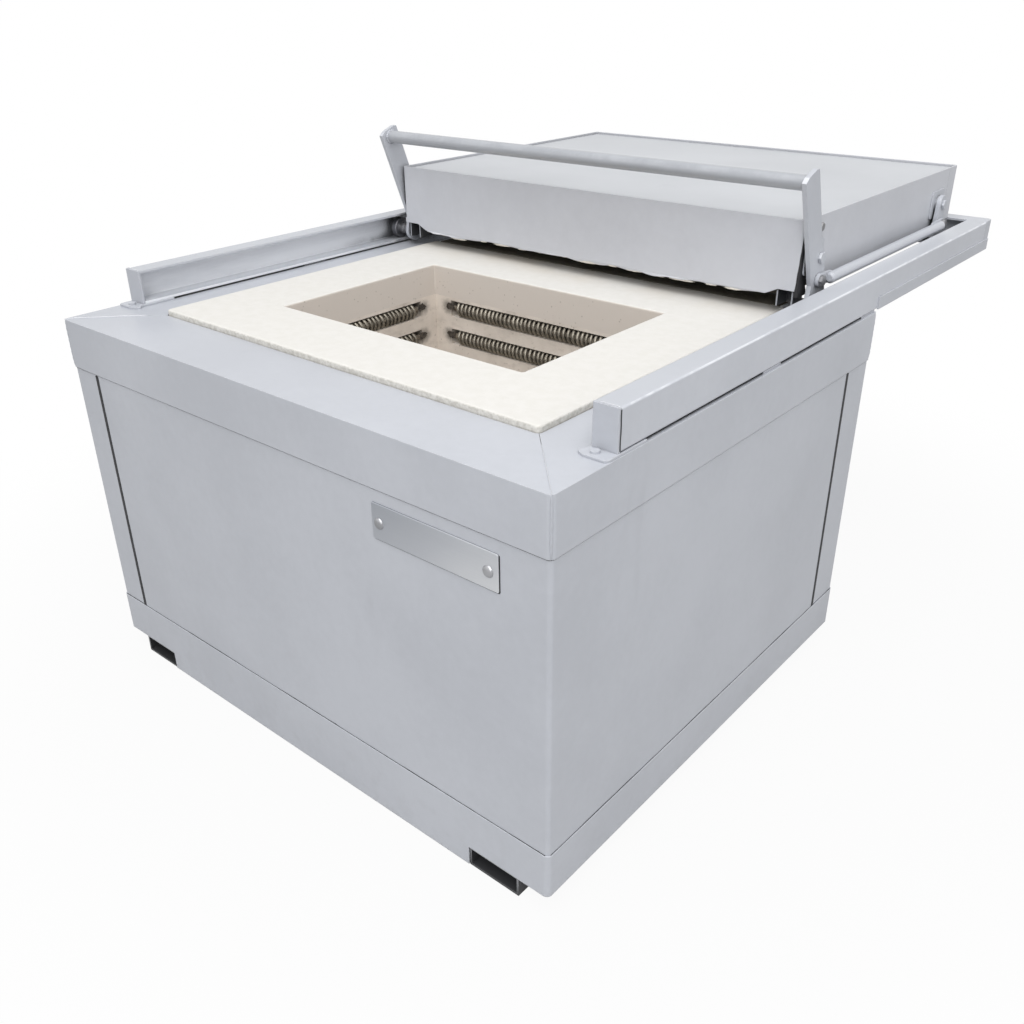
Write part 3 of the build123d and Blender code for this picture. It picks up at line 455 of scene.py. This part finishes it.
slot_finish = {
    "grey_paint": PAINT, "bare_steel": STEEL, "roller_steel": ROLLER, "fibre_board": BOARD,
    "fire_brick": BRICK, "fibre_filling": FILLING, "lid_fibre": LID_FIBRE, "dark_fibre": STRIP_LIGHTENED,
    "element_ceramic": TUBE, "element_wire": WIRE, "black_plastic": BLACK,
}
node_finish = {
    "fork_pockets": POCKET_SHADED_PAINT, "lid_feet": FOOT_PAINT_DARKENED, "rail_left": CHANNEL_PAINT_LIGHTENED,
    "rail_right": CHANNEL_PAINT_LIGHTENED, "handle_bar": BAR_PAINT_DARKENED, "link_rods": ROD_PAINT, "lid_casing": LID_PAINT_LIGHTENED,
}
node_slot = {row["node"]: row["material_slot"] for row in frame["record"]["subparts"]}
for node_name, obj in nodes.items():
    obj.data.materials.clear()
    obj.data.materials.append(node_finish.get(node_name, slot_finish[node_slot[node_name]]))


# Tools for pieces
def place(x, y, z):
    """A spot of the furnace, in metres of the shared frame."""
    return Vector((x * MM, (y - ORIGIN_BACK) * MM, z * MM))


def settle():
    """Puts the place, turn and size of the selected piece into its mesh."""
    bpy.ops.object.transform_apply(location=True, rotation=True, scale=True)


def stand(piece, spot, turn, shift=(0, 0, 0)):
    """Moves a piece made at the origin by shift, turns it about Z and takes it to its spot."""
    piece.matrix_world = Matrix.Translation(spot) @ Matrix.Rotation(turn, 4, "Z") @ Matrix.Translation(shift)
    bpy.ops.object.select_all(action="DESELECT")
    piece.select_set(True)
    bpy.context.view_layer.objects.active = piece
    settle()


def named(name, finish, body):
    """The piece just made: its place goes into its mesh, and it rides on a body."""
    piece = bpy.context.object
    piece.name = name
    piece.data.name = name
    settle()
    piece.data.materials.clear()
    piece.data.materials.append(finish)
    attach(piece, body)
    bpy.ops.object.select_all(action="DESELECT")
    return piece


def pick(obj, kind, test):
    """Selects the faces, edges or points of a mesh in edit mode that pass a test."""
    mesh = bmesh.from_edit_mesh(obj.data)
    for group in (mesh.verts, mesh.edges, mesh.faces):
        for element in group:
            element.select = False
    for element in getattr(mesh, kind):
        if test(element):
            element.select_set(True)
    mesh.select_flush_mode()
    bmesh.update_edit_mesh(obj.data)


def edit(obj, mode="FACE"):
    bpy.context.view_layer.objects.active = obj
    obj.select_set(True)
    bpy.ops.object.mode_set(mode="EDIT")
    bpy.ops.mesh.select_mode(type=mode)


def object_mode():
    bpy.ops.object.mode_set(mode="OBJECT")


def bevel_edges(obj, test, offset, segments):
    """Rounds the edges that pass a test."""
    edit(obj, "EDGE")
    pick(obj, "edges", test)
    bpy.ops.mesh.bevel(offset=offset * MM, segments=segments, affect="EDGES")
    object_mode()


def apply(obj, kind, name, **settings):
    modifier = obj.modifiers.new(name, kind)
    for key, value in settings.items():
        setattr(modifier, key, value)
    bpy.context.view_layer.objects.active = obj
    obj.select_set(True)
    bpy.ops.object.modifier_apply(modifier=name)


def outward(obj):
    """Merges doubles and turns the faces outwards, also where a long wound tube comes out inside out."""
    edit(obj)
    bpy.ops.mesh.select_all(action="SELECT")
    bpy.ops.mesh.remove_doubles(threshold=0.00001)
    bpy.ops.mesh.normals_make_consistent(inside=False)
    if bmesh.from_edit_mesh(obj.data).calc_volume(signed=True) < 0:
        bpy.ops.mesh.flip_normals()
    object_mode()


def join(pieces):
    bpy.ops.object.select_all(action="DESELECT")
    for piece in pieces:
        piece.select_set(True)
    bpy.context.view_layer.objects.active = pieces[0]
    bpy.ops.object.join()
    return bpy.context.object


def block(middle, size):
    """A box to shape further; size is in metres."""
    bpy.ops.mesh.primitive_cube_add(size=1, location=middle, scale=size)
    settle()
    return bpy.context.object


def flat_grid(cuts, middle, rotation, length=None, width=None):
    """A flat strip of squares, to be bent by its points: length by width, or 1 m square."""
    bpy.ops.mesh.primitive_grid_add(x_subdivisions=cuts, y_subdivisions=2, size=1, location=middle,
                                    rotation=rotation)
    grid = bpy.context.object
    if length:
        grid.scale = (length * MM, width * MM, 1)
    settle()
    return grid


# The chamber's wire coils, each one unbroken wire on its ceramic tube
COIL_D = 35.4
WIRE_D = 7.0
WIRE_SIDES = 7
TURN = 11.6
TURN_STEPS = 16
COIL_DEPTH = 9.0
COIL_RISE = 2.0
LEAD_STEPS = ((3.0, -1.0, 2.5), (6.0, 3.0, 3.0), (6.0, 7.0, 0.5), (3.0, 9.0, -0.5))
# For each wall: half its coils' length, the turn about Z, and the middle of its face
WALLS = {
    "back": (LONG_HALF, 0, 0, CHAMBER_BACK),
    "left": (SHORT_HALF, QUARTER_TURN, -CHAMBER_X, CHAMBER_MID),
    "front": (LONG_HALF, math.pi, 0, CHAMBER_FRONT),
    "right": (SHORT_HALF, -QUARTER_TURN, CHAMBER_X, CHAMBER_MID),
}


def wire_coil(half, seed):
    """A coil along X about the origin, with its two ends led back into the wall, towards +Y."""
    turns = round(2 * half / TURN)
    radius = (COIL_D - WIRE_D) / 2
    bpy.ops.mesh.primitive_circle_add(vertices=WIRE_SIDES, radius=WIRE_D / 2 * MM, location=(0, 0, 0),
                                      fill_type="NOTHING")
    coil = bpy.context.object
    edit(coil, "VERT")
    bpy.ops.mesh.select_all(action="SELECT")
    bpy.ops.transform.translate(value=(-half * MM, radius * MM, 0))
    object_mode()
    apply(coil, "SCREW", "wind", axis="X", angle=2 * math.pi * turns, screw_offset=2 * half * MM,
          steps=TURN_STEPS * turns, render_steps=TURN_STEPS * turns, use_merge_vertices=False,
          use_smooth_shade=True)
    for point in coil.data.vertices:
        along = point.co.x / (half * MM)
        sway = math.sin(along * 5.3 + seed) * 0.5 + math.sin(along * 11.7 + 2.1 * seed) * 0.3
        point.co.z += sway * 0.35 * MM
        point.co.x += math.sin(along * 17.0 + seed * 1.7) * 1.1 * MM * (1 - along * along)
    edit(coil, "EDGE")
    for end in (-1, 1):
        pick(coil, "verts", lambda v: v.is_boundary and v.co.x * end > 0)
        for out, into, up in LEAD_STEPS:
            step = (end * out * MM, into * MM, up * MM)
            bpy.ops.mesh.extrude_region_move(TRANSFORM_OT_translate={"value": step})
        bpy.ops.mesh.edge_face_add()
    object_mode()
    outward(coil)
    return coil


def hang(piece, wall, height):
    """Moves a piece made along X, with the wall behind it at +Y, to its row on one of the four walls."""
    _, turn, x, y = WALLS[wall]
    stand(piece, place(x, y, height), turn, (0, COIL_DEPTH * MM, COIL_RISE * MM))


rest = []
for row, height in enumerate(ROWS):
    for number, wall in enumerate(WALLS):
        coil = wire_coil(WALLS[wall][0], row * 1.3 + number * 0.7)
        hang(coil, wall, height)
        if row == 0 and wall in ("back", "left"):
            named(f"wire_coil_{wall}", WIRE, "furnace_body")
            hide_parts(f"coil_{wall}_upper")
        else:
            rest.append(coil)
others = join(rest)
named("wire_coils_other_rows", WIRE, "furnace_body")
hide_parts("element_coils")


# Ragged dark craters, flat on the brick, where each coil's ends go into it: scorch, and painted shade for
# the depth of the holes
HOLE_R = 10.5
HOLE_OUT = 0.9


def lead_hole(seed):
    """A torn crater, flat on the wall, that faces -Y."""
    bpy.ops.mesh.primitive_circle_add(vertices=22, radius=HOLE_R * MM, location=(0, 0, 0),
                                      rotation=(QUARTER_TURN, 0, 0), fill_type="NGON")
    hole = bpy.context.object
    bpy.ops.object.transform_apply(location=False, rotation=True, scale=False)
    for index, point in enumerate(hole.data.vertices):
        torn = 0.78 + 0.34 * abs(math.sin(index * 2.7 + seed)) * abs(math.cos(index * 1.3 + 2 * seed))
        point.co.x *= torn * 1.25
        point.co.z *= torn * 0.8
    edit(hole)
    bpy.ops.mesh.select_all(action="SELECT")
    bpy.ops.mesh.inset(thickness=HOLE_R * 0.3 * MM, depth=0)
    bpy.ops.transform.translate(value=(0, 0.5 * MM, 0))
    object_mode()
    apply(hole, "SOLIDIFY", "thick", thickness=0.6 * MM, offset=-1)
    return hole


holes = []
for row, height in enumerate(ROWS):
    for number, wall in enumerate(WALLS):
        for end in (-1, 1):
            hole = lead_hole(row + number * 0.9 + end)
            out = end * (WALLS[wall][0] + HOLE_PAST_COIL)
            hole.location = Vector((out * MM, (-COIL_DEPTH - HOLE_OUT) * MM, HOLE_RISE * MM))
            settle()
            hang(hole, wall, height)
            holes.append(hole)
join(holes)
named("lead_holes", SCORCH, "furnace_body")


# The bare plate, a dark shim behind it set off right and down as the plate's painted shadow, and its two
# dome rivets on the front panel
PLATE_T = 1.8
PLATE_CORNER = 3
SHADOW_SHIM_T = 0.8
SHADOW_SHIM_SHIFT = 1.3
RIVET_R = 10.0
RIVET_X = (272.0, 490.0)
RIVET_Z = 599.0


def plate_sheet(thick, shift):
    """A sheet with rounded corners on the front panel, moved right and down by shift."""
    middle = place(sum(PLATE_X) / 2 + shift, PANEL_Y - thick / 2, sum(PLATE_Z) / 2 - shift)
    sheet = block(middle, ((PLATE_X[1] - PLATE_X[0]) * MM, thick * MM, (PLATE_Z[1] - PLATE_Z[0]) * MM))
    bevel_edges(sheet, lambda e: abs(e.verts[0].co.y - e.verts[1].co.y) > thick / 2 * MM, PLATE_CORNER, 4)
    return sheet


plate = plate_sheet(PLATE_T, 0)
edit(plate)
pick(plate, "faces", lambda f: f.normal.y < -0.9)
bpy.ops.mesh.inset(thickness=0.9 * MM, depth=0.6 * MM)
object_mode()
named("name_plate_bare", PLATE, "furnace_body")
# The dark shim, set off right and down: painted shadow of the plate
plate_sheet(SHADOW_SHIM_T, SHADOW_SHIM_SHIFT)
named("plate_shadow_shim", BLACK, "furnace_body")

rivets = []
for x in RIVET_X:
    middle = place(x, PANEL_Y - 1.2, RIVET_Z)
    bpy.ops.mesh.primitive_uv_sphere_add(segments=32, ring_count=16, radius=RIVET_R * MM, location=middle,
                                         rotation=(QUARTER_TURN, 0, 0))
    rivet = bpy.context.object
    settle()
    edit(rivet)
    bpy.ops.mesh.select_all(action="SELECT")
    bpy.ops.mesh.bisect(plane_co=middle, plane_no=(0, 1, 0), clear_outer=True, use_fill=True)
    bpy.ops.mesh.select_all(action="SELECT")
    bpy.ops.transform.resize(value=(1, 0.6, 1), center_override=middle)
    object_mode()
    bpy.ops.object.shade_smooth()
    rivets.append(rivet)
join(rivets)
named("plate_rivets", RIVET, "furnace_body")


# Black strips set into the two upright gaps between the wrapped casings, wider than the gaps: painted shade
# of the deep gaps
GAP_STRIP_W = 9.5
GAP_STRIP_T = 1.6
GAP_STRIP_Z = (128.0, 652.0)
GAP_STRIP_OUT = 0.7
GAP_STRIP_STEM = 6
GAP_STRIP_PLACES = ((0, -518.0, PANEL_Y), (QUARTER_TURN, 598.0, 914.0))


def gap_shade_strip():
    """A dark strip along Z about the origin, its crowned face towards -Y and a stem behind it."""
    gap_strip = block((0, 0, 0), (GAP_STRIP_W * MM, GAP_STRIP_T * MM, (GAP_STRIP_Z[1] - GAP_STRIP_Z[0]) * MM))
    edit(gap_strip)
    pick(gap_strip, "faces", lambda f: f.normal.y > 0.9)
    bpy.ops.mesh.inset(thickness=2.2 * MM, depth=0)
    bpy.ops.mesh.extrude_region_move(TRANSFORM_OT_translate={"value": (0, GAP_STRIP_STEM * MM, 0)})
    object_mode()
    bevel_edges(gap_strip, lambda e: all(v.co.y < -0.7 * MM for v in e.verts)
                and abs(e.verts[0].co.z - e.verts[1].co.z) > 0.1, 0.7, 3)
    return gap_strip


gap_strips = []
for turn, x, y in GAP_STRIP_PLACES:
    gap_strip = gap_shade_strip()
    stand(gap_strip, place(x, y, sum(GAP_STRIP_Z) / 2), turn, (0, (GAP_STRIP_T / 2 - GAP_STRIP_OUT) * MM, 0))
    gap_strips.append(gap_strip)
join(gap_strips)
named("casing_gap_shade_strips", BLACK, "furnace_body")


# Weld beads along the top frame's mitres and corners, and over the rails' front ends
CORNER_X = 597.2
CORNER_Z = (656, 749.4)
CORNER_BEAD = 2.3
FRAME_CORNERS = ((2.8, 1, 0.8), (1009.2, -1, 0.55))
MITRE_X = 598.5
MITRE_Z = 749.7
MITRE_ACROSS = 135.0
MITRE_BACK = 142.0
RAIL_BEAD_X = (557, 595)
RAIL_BEAD_Y = 149
RAIL_BEAD_Z = 820.2


def weld_bead(start, end, wide, high, seed):
    """A rippled bead from start to end that closes blunt at both ends."""
    length = (end - start).length
    bpy.ops.mesh.primitive_uv_sphere_add(segments=12, ring_count=48, radius=1, location=(0, 0, 0))
    bead = bpy.context.object
    for point in bead.data.vertices:
        along = point.co.z
        ring = math.sqrt(max(0.0, 1 - along * along))
        blunt = math.sqrt(max(0.0, 1 - along ** 6))
        ripple = 0.92 + 0.08 * math.sin(along * length / MM * 0.26 + seed)
        swell = (blunt / ring if ring > 0.001 else 0.0) * ripple
        point.co.x *= wide * swell * MM
        point.co.y *= high * swell * MM
        point.co.z = along * length / 2
    lie = (end - start).to_track_quat("Z", "Y")
    bead.matrix_world = Matrix.Translation((start + end) / 2) @ lie.to_matrix().to_4x4()
    settle()
    bpy.ops.object.shade_smooth()
    return bead


upright = []
beads = []
for side in (-1, 1):
    for corner, inward, reach in FRAME_CORNERS:
        foot, head = (place(side * CORNER_X, corner, height) for height in CORNER_Z)
        upright.append(weld_bead(foot, head, CORNER_BEAD, CORNER_BEAD, side))
        outer = place(side * MITRE_X, corner - 1.3 * inward, MITRE_Z)
        inner = Vector((-side * MITRE_ACROSS * MM, inward * MITRE_BACK * MM, 0))
        beads.append(weld_bead(outer, outer + inner * reach, 0.9, 3.0, side + 2))
    start, end = (place(side * x, RAIL_BEAD_Y, RAIL_BEAD_Z) for x in RAIL_BEAD_X)
    beads.append(weld_bead(start, end, 1.2, 2.2, side + 4))
join(beads)
named("frame_weld_beads", WELD_PAINT, "furnace_body")
join(upright)
named("frame_corner_beads", ROD_PAINT, "furnace_body")


# Dark seams where the rails' end plates meet their webs
RAIL_SEAM_PLACE = (597.2, 150.4, 787)
RAIL_SEAM_H = 60
RAIL_SEAM_W = 2.2

seams = []
for side in (-1, 1):
    x, y, z = RAIL_SEAM_PLACE
    seam = flat_grid(30, place(side * x, y, z), (0, QUARTER_TURN, 0), RAIL_SEAM_H, RAIL_SEAM_W)
    for point in seam.data.vertices:
        point.co.y += math.sin(point.co.z * 160 + side) * 0.35 * MM
    apply(seam, "SOLIDIFY", "thick", thickness=0.8 * MM, offset=0)
    seams.append(seam)
outward(join(seams))
named("rail_end_seams", BLACK, "furnace_body")


# A dark strip along the seam between the panels' feet and the skirt's upper edge, thinning to almost nothing
# in places: painted shade of the gap
SKIRT_SEAM_Z = 127.0
SKIRT_SEAM_H = 1.4
SKIRT_SIDES = ((0, 0, 1.6, 1184), (QUARTER_TURN, 598.4, 506, 996), (-QUARTER_TURN, -598.4, 506, 996),
               (math.pi, 0, 1010.4, 1184))


def foot_seam(length, seed):
    """A thin strip along X about the origin that stands on the skirt, its face towards -Y."""
    strip = flat_grid(240, (0, 0, SKIRT_SEAM_H / 2 * MM), (QUARTER_TURN, 0, 0), length, SKIRT_SEAM_H)
    for point in strip.data.vertices:
        x = point.co.x / MM
        wave = math.sin(x * 0.021 + seed) + math.sin(x * 0.057 + 2 * seed) * 0.6
        wave += math.sin(x * 0.13 + seed) * 0.3
        point.co.z *= min(0.8, max(0.1, 0.4 + 0.45 * wave))
    apply(strip, "SOLIDIFY", "thick", thickness=0.9 * MM, offset=0)
    outward(strip)
    return strip


strips = []
for turn, x, y, length in SKIRT_SIDES:
    strip = foot_seam(length, turn + 1.0)
    stand(strip, place(x, y, SKIRT_SEAM_Z), turn)
    strips.append(strip)
join(strips)
named("skirt_seam_shade", BLACK, "furnace_body")


# The torn-open seam at the lid's front right corner: a dark wedge, narrow at the top, laid flat on the lid's
# front and side as painted shade of the opening
WEDGE_X = 510.2
WEDGE_Y = 840.7
WEDGE_LOW = 799
WEDGE_H = 118
WEDGE_TOP_W = 0.3


def corner_wedge(across, front):
    """A dark sheet of painted shade that widens downwards by across, flat on the lid's front or else on its
    side.
    """
    sheet = flat_grid(14, (0, 0, 0), (0, QUARTER_TURN, 0))
    for point in sheet.data.vertices:
        up = point.co.z + 0.5
        width = WEDGE_TOP_W + across * (1 - up) * (1 + 0.06 * math.sin(up * 23))
        reach = (point.co.y + 0.5) * width
        height = WEDGE_LOW + WEDGE_H * up
        if front:
            point.co = place(WEDGE_X - reach, WEDGE_Y, height)
        else:
            point.co = place(WEDGE_X + 0.1, WEDGE_Y + 0.1 + reach, height)
    apply(sheet, "SOLIDIFY", "thick", thickness=0.6 * MM, offset=0)
    outward(sheet)
    return sheet


join([corner_wedge(7.0, True), corner_wedge(32.0, False)])
named("lid_corner_gap_shade", BLACK, "lid")


# Weld beads: a wavy ring round each end of the handle bar
RING_R = 13.2
RING_BEAD = 2.4


def weld_ring(middle):
    bpy.ops.mesh.primitive_torus_add(major_segments=72, minor_segments=8, major_radius=RING_R * MM,
                                     minor_radius=RING_BEAD * MM, location=(0, 0, 0))
    bead = bpy.context.object
    for point in bead.data.vertices:
        angle = math.atan2(point.co.y, point.co.x)
        swell = 1 + 0.05 * math.sin(angle * 19) + 0.03 * math.sin(angle * 7 + 1)
        point.co.x *= swell
        point.co.y *= swell
    bead.matrix_world = Matrix.Translation(middle) @ Matrix.Rotation(QUARTER_TURN, 4, "Y")
    settle()
    bpy.ops.object.shade_smooth()
    return bead


bar_low, bar_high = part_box("handle_bar")
bar_y = (bar_low[1] + bar_high[1]) / 2
bar_z = (bar_low[2] + bar_high[2]) / 2
join([weld_ring(Vector((x, bar_y, bar_z))) for x in (bar_low[0] + MM, bar_high[0] - MM)])
named("handle_welds", PAINT, "handle")


# The lid's bent lower front edge and the fibre that frays out under it
EDGE_HALF = 440.0
EDGE_LOW = 797.0
EDGE_Y = 841.0
EDGE_T = 2.6
EDGE_STEPS = 150
EDGE_H = 6
TUFT_DEPTH = 2.2


def sag(x):
    """How far the bent edge hangs below a straight one."""
    wave = math.sin(x * 0.035 + 0.6) * 1.3 + math.sin(x * 0.011) * 1.6 + math.sin(x * 0.093 + 2) * 0.8
    wave += abs(math.sin(x * 0.051 + 1.1)) * 1.2
    return max(0.3, 2.2 + wave) * min(1.0, (EDGE_HALF - abs(x)) / 20 + 0.05)


edge = flat_grid(EDGE_STEPS, place(0, EDGE_Y + 0.2, EDGE_LOW), (QUARTER_TURN, 0, 0), 2 * EDGE_HALF, EDGE_H)
for point in edge.data.vertices:
    below = EDGE_LOW - point.co.z / MM
    if below > 0:
        share = below / (EDGE_H / 2)
        point.co.z = (EDGE_LOW - share * sag(point.co.x / MM)) * MM
        point.co.y += share * math.sin(point.co.x / MM * 0.02) * 1.5 * MM
apply(edge, "SOLIDIFY", "sheet", thickness=EDGE_T * MM, offset=-1)
outward(edge)
named("lid_bent_edge", LID_PAINT_LIGHTENED, "lid")


def tuft(x, wide, tall, seed):
    """A frayed lump of fibre that hangs out under the edge."""
    bpy.ops.mesh.primitive_ico_sphere_add(subdivisions=3, radius=1, location=(0, 0, 0))
    lump = bpy.context.object
    for point in lump.data.vertices:
        x0, y0, z0 = point.co
        fray = 1 + 0.28 * math.sin(9 * x0 + seed) * math.cos(7 * z0 + 2 * seed)
        fray += 0.15 * math.sin(17 * y0 + 3 * seed)
        point.co = (x0 * wide * fray * MM, y0 * TUFT_DEPTH * fray * MM, z0 * tall * fray * MM)
    lump.location = place(x, EDGE_Y + 2.6, EDGE_LOW - sag(x) - tall * 0.1)
    settle()
    return lump


TUFTS = (
    (-386, 10, 1.9), (-340, 22, 2.4), (-262, 9, 1.7), (-205, 26, 2.6), (-148, 12, 1.9), (-92, 30, 2.8),
    (-30, 14, 2.0), (28, 34, 2.7), (96, 12, 1.8), (150, 20, 2.3), (214, 10, 1.7), (262, 27, 2.5),
    (330, 12, 1.9), (378, 18, 2.3))
join([tuft(x, wide, tall, index * 1.9) for index, (x, wide, tall) in enumerate(TUFTS)])
named("frayed_fibre", FILLING, "lid")


# The lid's top field: a shallow folded sheet that fills the rim nearly to its edge, a little wavy
FIELD_GAP = 5.0
FIELD_TOP = 934.0
FIELD_H = 11.0
FIELD_BORDER = 8
FIELD_CUTS = 40
sheet_low, sheet_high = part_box("lid_top_sheet")
width = sheet_high[0] - sheet_low[0] - 2 * FIELD_GAP * MM
depth = sheet_high[1] - sheet_low[1] - 2 * FIELD_GAP * MM
centre = Vector(((sheet_low[0] + sheet_high[0]) / 2, (sheet_low[1] + sheet_high[1]) / 2,
                 (FIELD_TOP - FIELD_H / 2) * MM))
field = block(centre, (width, depth, FIELD_H * MM))
edit(field)
pick(field, "faces", lambda f: f.normal.z > 0.9)
bpy.ops.mesh.inset(thickness=FIELD_BORDER * MM, depth=0)
bpy.ops.mesh.subdivide(number_cuts=FIELD_CUTS)
object_mode()
for point in field.data.vertices:
    if point.co.z > (FIELD_TOP - 1) * MM:
        across, back = point.co.x / width, (point.co.y - centre.y) / depth
        inner = max(0.0, (0.5 - abs(across)) * (0.5 - abs(back)) * 16)
        dent = math.sin(across * 7 + 1.3) * math.cos(back * 5.1) * 0.7
        dent += math.sin(across * 15 + back * 9) * 0.3
        point.co.z += min(1.0, inner) * dent * MM
bevel_edges(field, lambda e: len(e.link_faces) == 2 and e.calc_face_angle(0) > 1.0 and all(
    v.co.z > (FIELD_TOP - 2) * MM for v in e.verts), 2.5, 4)
bpy.ops.object.shade_smooth_by_angle(angle=math.radians(35))
named("lid_top_field", FIELD_PAINT, "lid")


# Trims that close the two ends of the dark strip behind the board, painted white: painted light that keeps
# them bright in the shade under the lid
TRIM_W = 5.0
TRIM_OVER = 0.4
strip_low, strip_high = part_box("rear_strip")
trims = []
strip_y = (strip_low[1] + strip_high[1]) / 2
strip_z = (strip_low[2] + strip_high[2]) / 2
for x in (strip_low[0] - TRIM_W / 2 * MM, strip_high[0] + TRIM_W / 2 * MM):
    middle = Vector((x, strip_y, strip_z + TRIM_OVER * MM))
    trim = block(middle, (TRIM_W * MM, strip_high[1] - strip_low[1], strip_high[2] - strip_low[2]))
    bevel_edges(trim, lambda e: all(v.co.z > middle.z for v in e.verts), 1.2, 3)
    trims.append(trim)
join(trims)
named("strip_end_trims", TRIM_PAINT_WHITENED, "furnace_body")


# Floor, light and camera
def stage_finish(name, colour):
    """A pale floor that keeps shadows; the camera and reflections see it as near white."""
    stage = Finish(name)
    shadowed = Shade(stage.tree, stage.shader.outputs[0])
    stage.set(Base_Color=colour, Roughness=0.9)
    white = stage.node("ShaderNodeEmission", {}, {"Color": (1, 1, 1, 1), "Strength": 1.0})
    seen = stage.node("ShaderNodeLightPath", {}, {}, "Is Camera Ray")
    seen += stage.node("ShaderNodeLightPath", {}, {}, "Is Glossy Ray") * 0.1
    across, back = stage.axis("X"), stage.axis("Y")
    away = ((across * across + back * back) ** 0.5).between(0.9, 1.9)
    both = stage.node("ShaderNodeMixShader", {}, {0: seen * (away * 0.06 + 0.94), 1: shadowed, 2: white})
    out = next(n for n in stage.tree.nodes if n.type == "OUTPUT_MATERIAL")
    feed(stage.tree, out.inputs["Surface"], both)
    return stage.material


bpy.ops.mesh.primitive_plane_add(size=60, location=(0, 0, -0.0005))
floor = bpy.context.object
floor.name = "floor"
floor.data.materials.append(stage_finish("pale_floor", (0.45, 0.45, 0.45, 1)))

world = bpy.data.worlds.new("studio")
bpy.context.scene.world = world
world.use_nodes = True
tree = world.node_tree
background = next(n for n in tree.nodes if n.type == "BACKGROUND")
background.inputs["Color"].default_value = (1, 1, 1, 1)
seen = add_node(tree, "ShaderNodeLightPath", {}, {}, "Is Camera Ray")
seen += add_node(tree, "ShaderNodeLightPath", {}, {}, "Is Glossy Ray") * 0.7
feed(tree, background.inputs["Strength"], seen * 0.49 + 0.51)

# Each lamp's place, what it points at, its size and its power in watts
LAMPS = {
    "overhead": ((1.5, -2.9, 8.0), (0, 0.1, 0.6), (7.0, 6.4), 485),
    "front_left": ((-3.0, -5.0, 3.2), (0, -0.2, 0.7), (3.6, 3.0), 10),
    "right_side": ((3.4, 0.4, 2.4), (0, 0, 0.7), (2.6, 2.0), 19),
    "fill": ((3.3, -5.0, 3.9), (0, 0, 0.7), (2.4, 2.0), 118),
}
for name, (position, target, size, power) in LAMPS.items():
    bpy.ops.object.light_add(type="AREA", location=position)
    lamp = bpy.context.object
    lamp.name = name
    lamp.data.shape = "RECTANGLE"
    lamp.data.size, lamp.data.size_y = size
    lamp.data.energy = power
    lamp.rotation_euler = (Vector(target) - Vector(position)).to_track_quat("-Z", "Y").to_euler()

CAMERA_PLACE = (1.2776, -1.7034, 1.3086)
PITCH, YAW, ROLL = math.radians(27.76), math.radians(40.48), math.radians(-0.61)
bpy.ops.object.camera_add(location=CAMERA_PLACE)
camera = bpy.context.object
camera.name = "camera"
camera.data.sensor_width = 36
camera.data.lens = 35.04
camera.data.clip_start = 0.05
turned = Matrix.Rotation(YAW, 4, "Z") @ Matrix.Rotation(QUARTER_TURN - PITCH, 4, "X")
turned = turned @ Matrix.Rotation(ROLL, 4, "Z")
camera.rotation_euler = turned.to_euler()
bpy.context.scene.camera = camera
bpy.context.scene.view_settings.view_transform = "Standard"
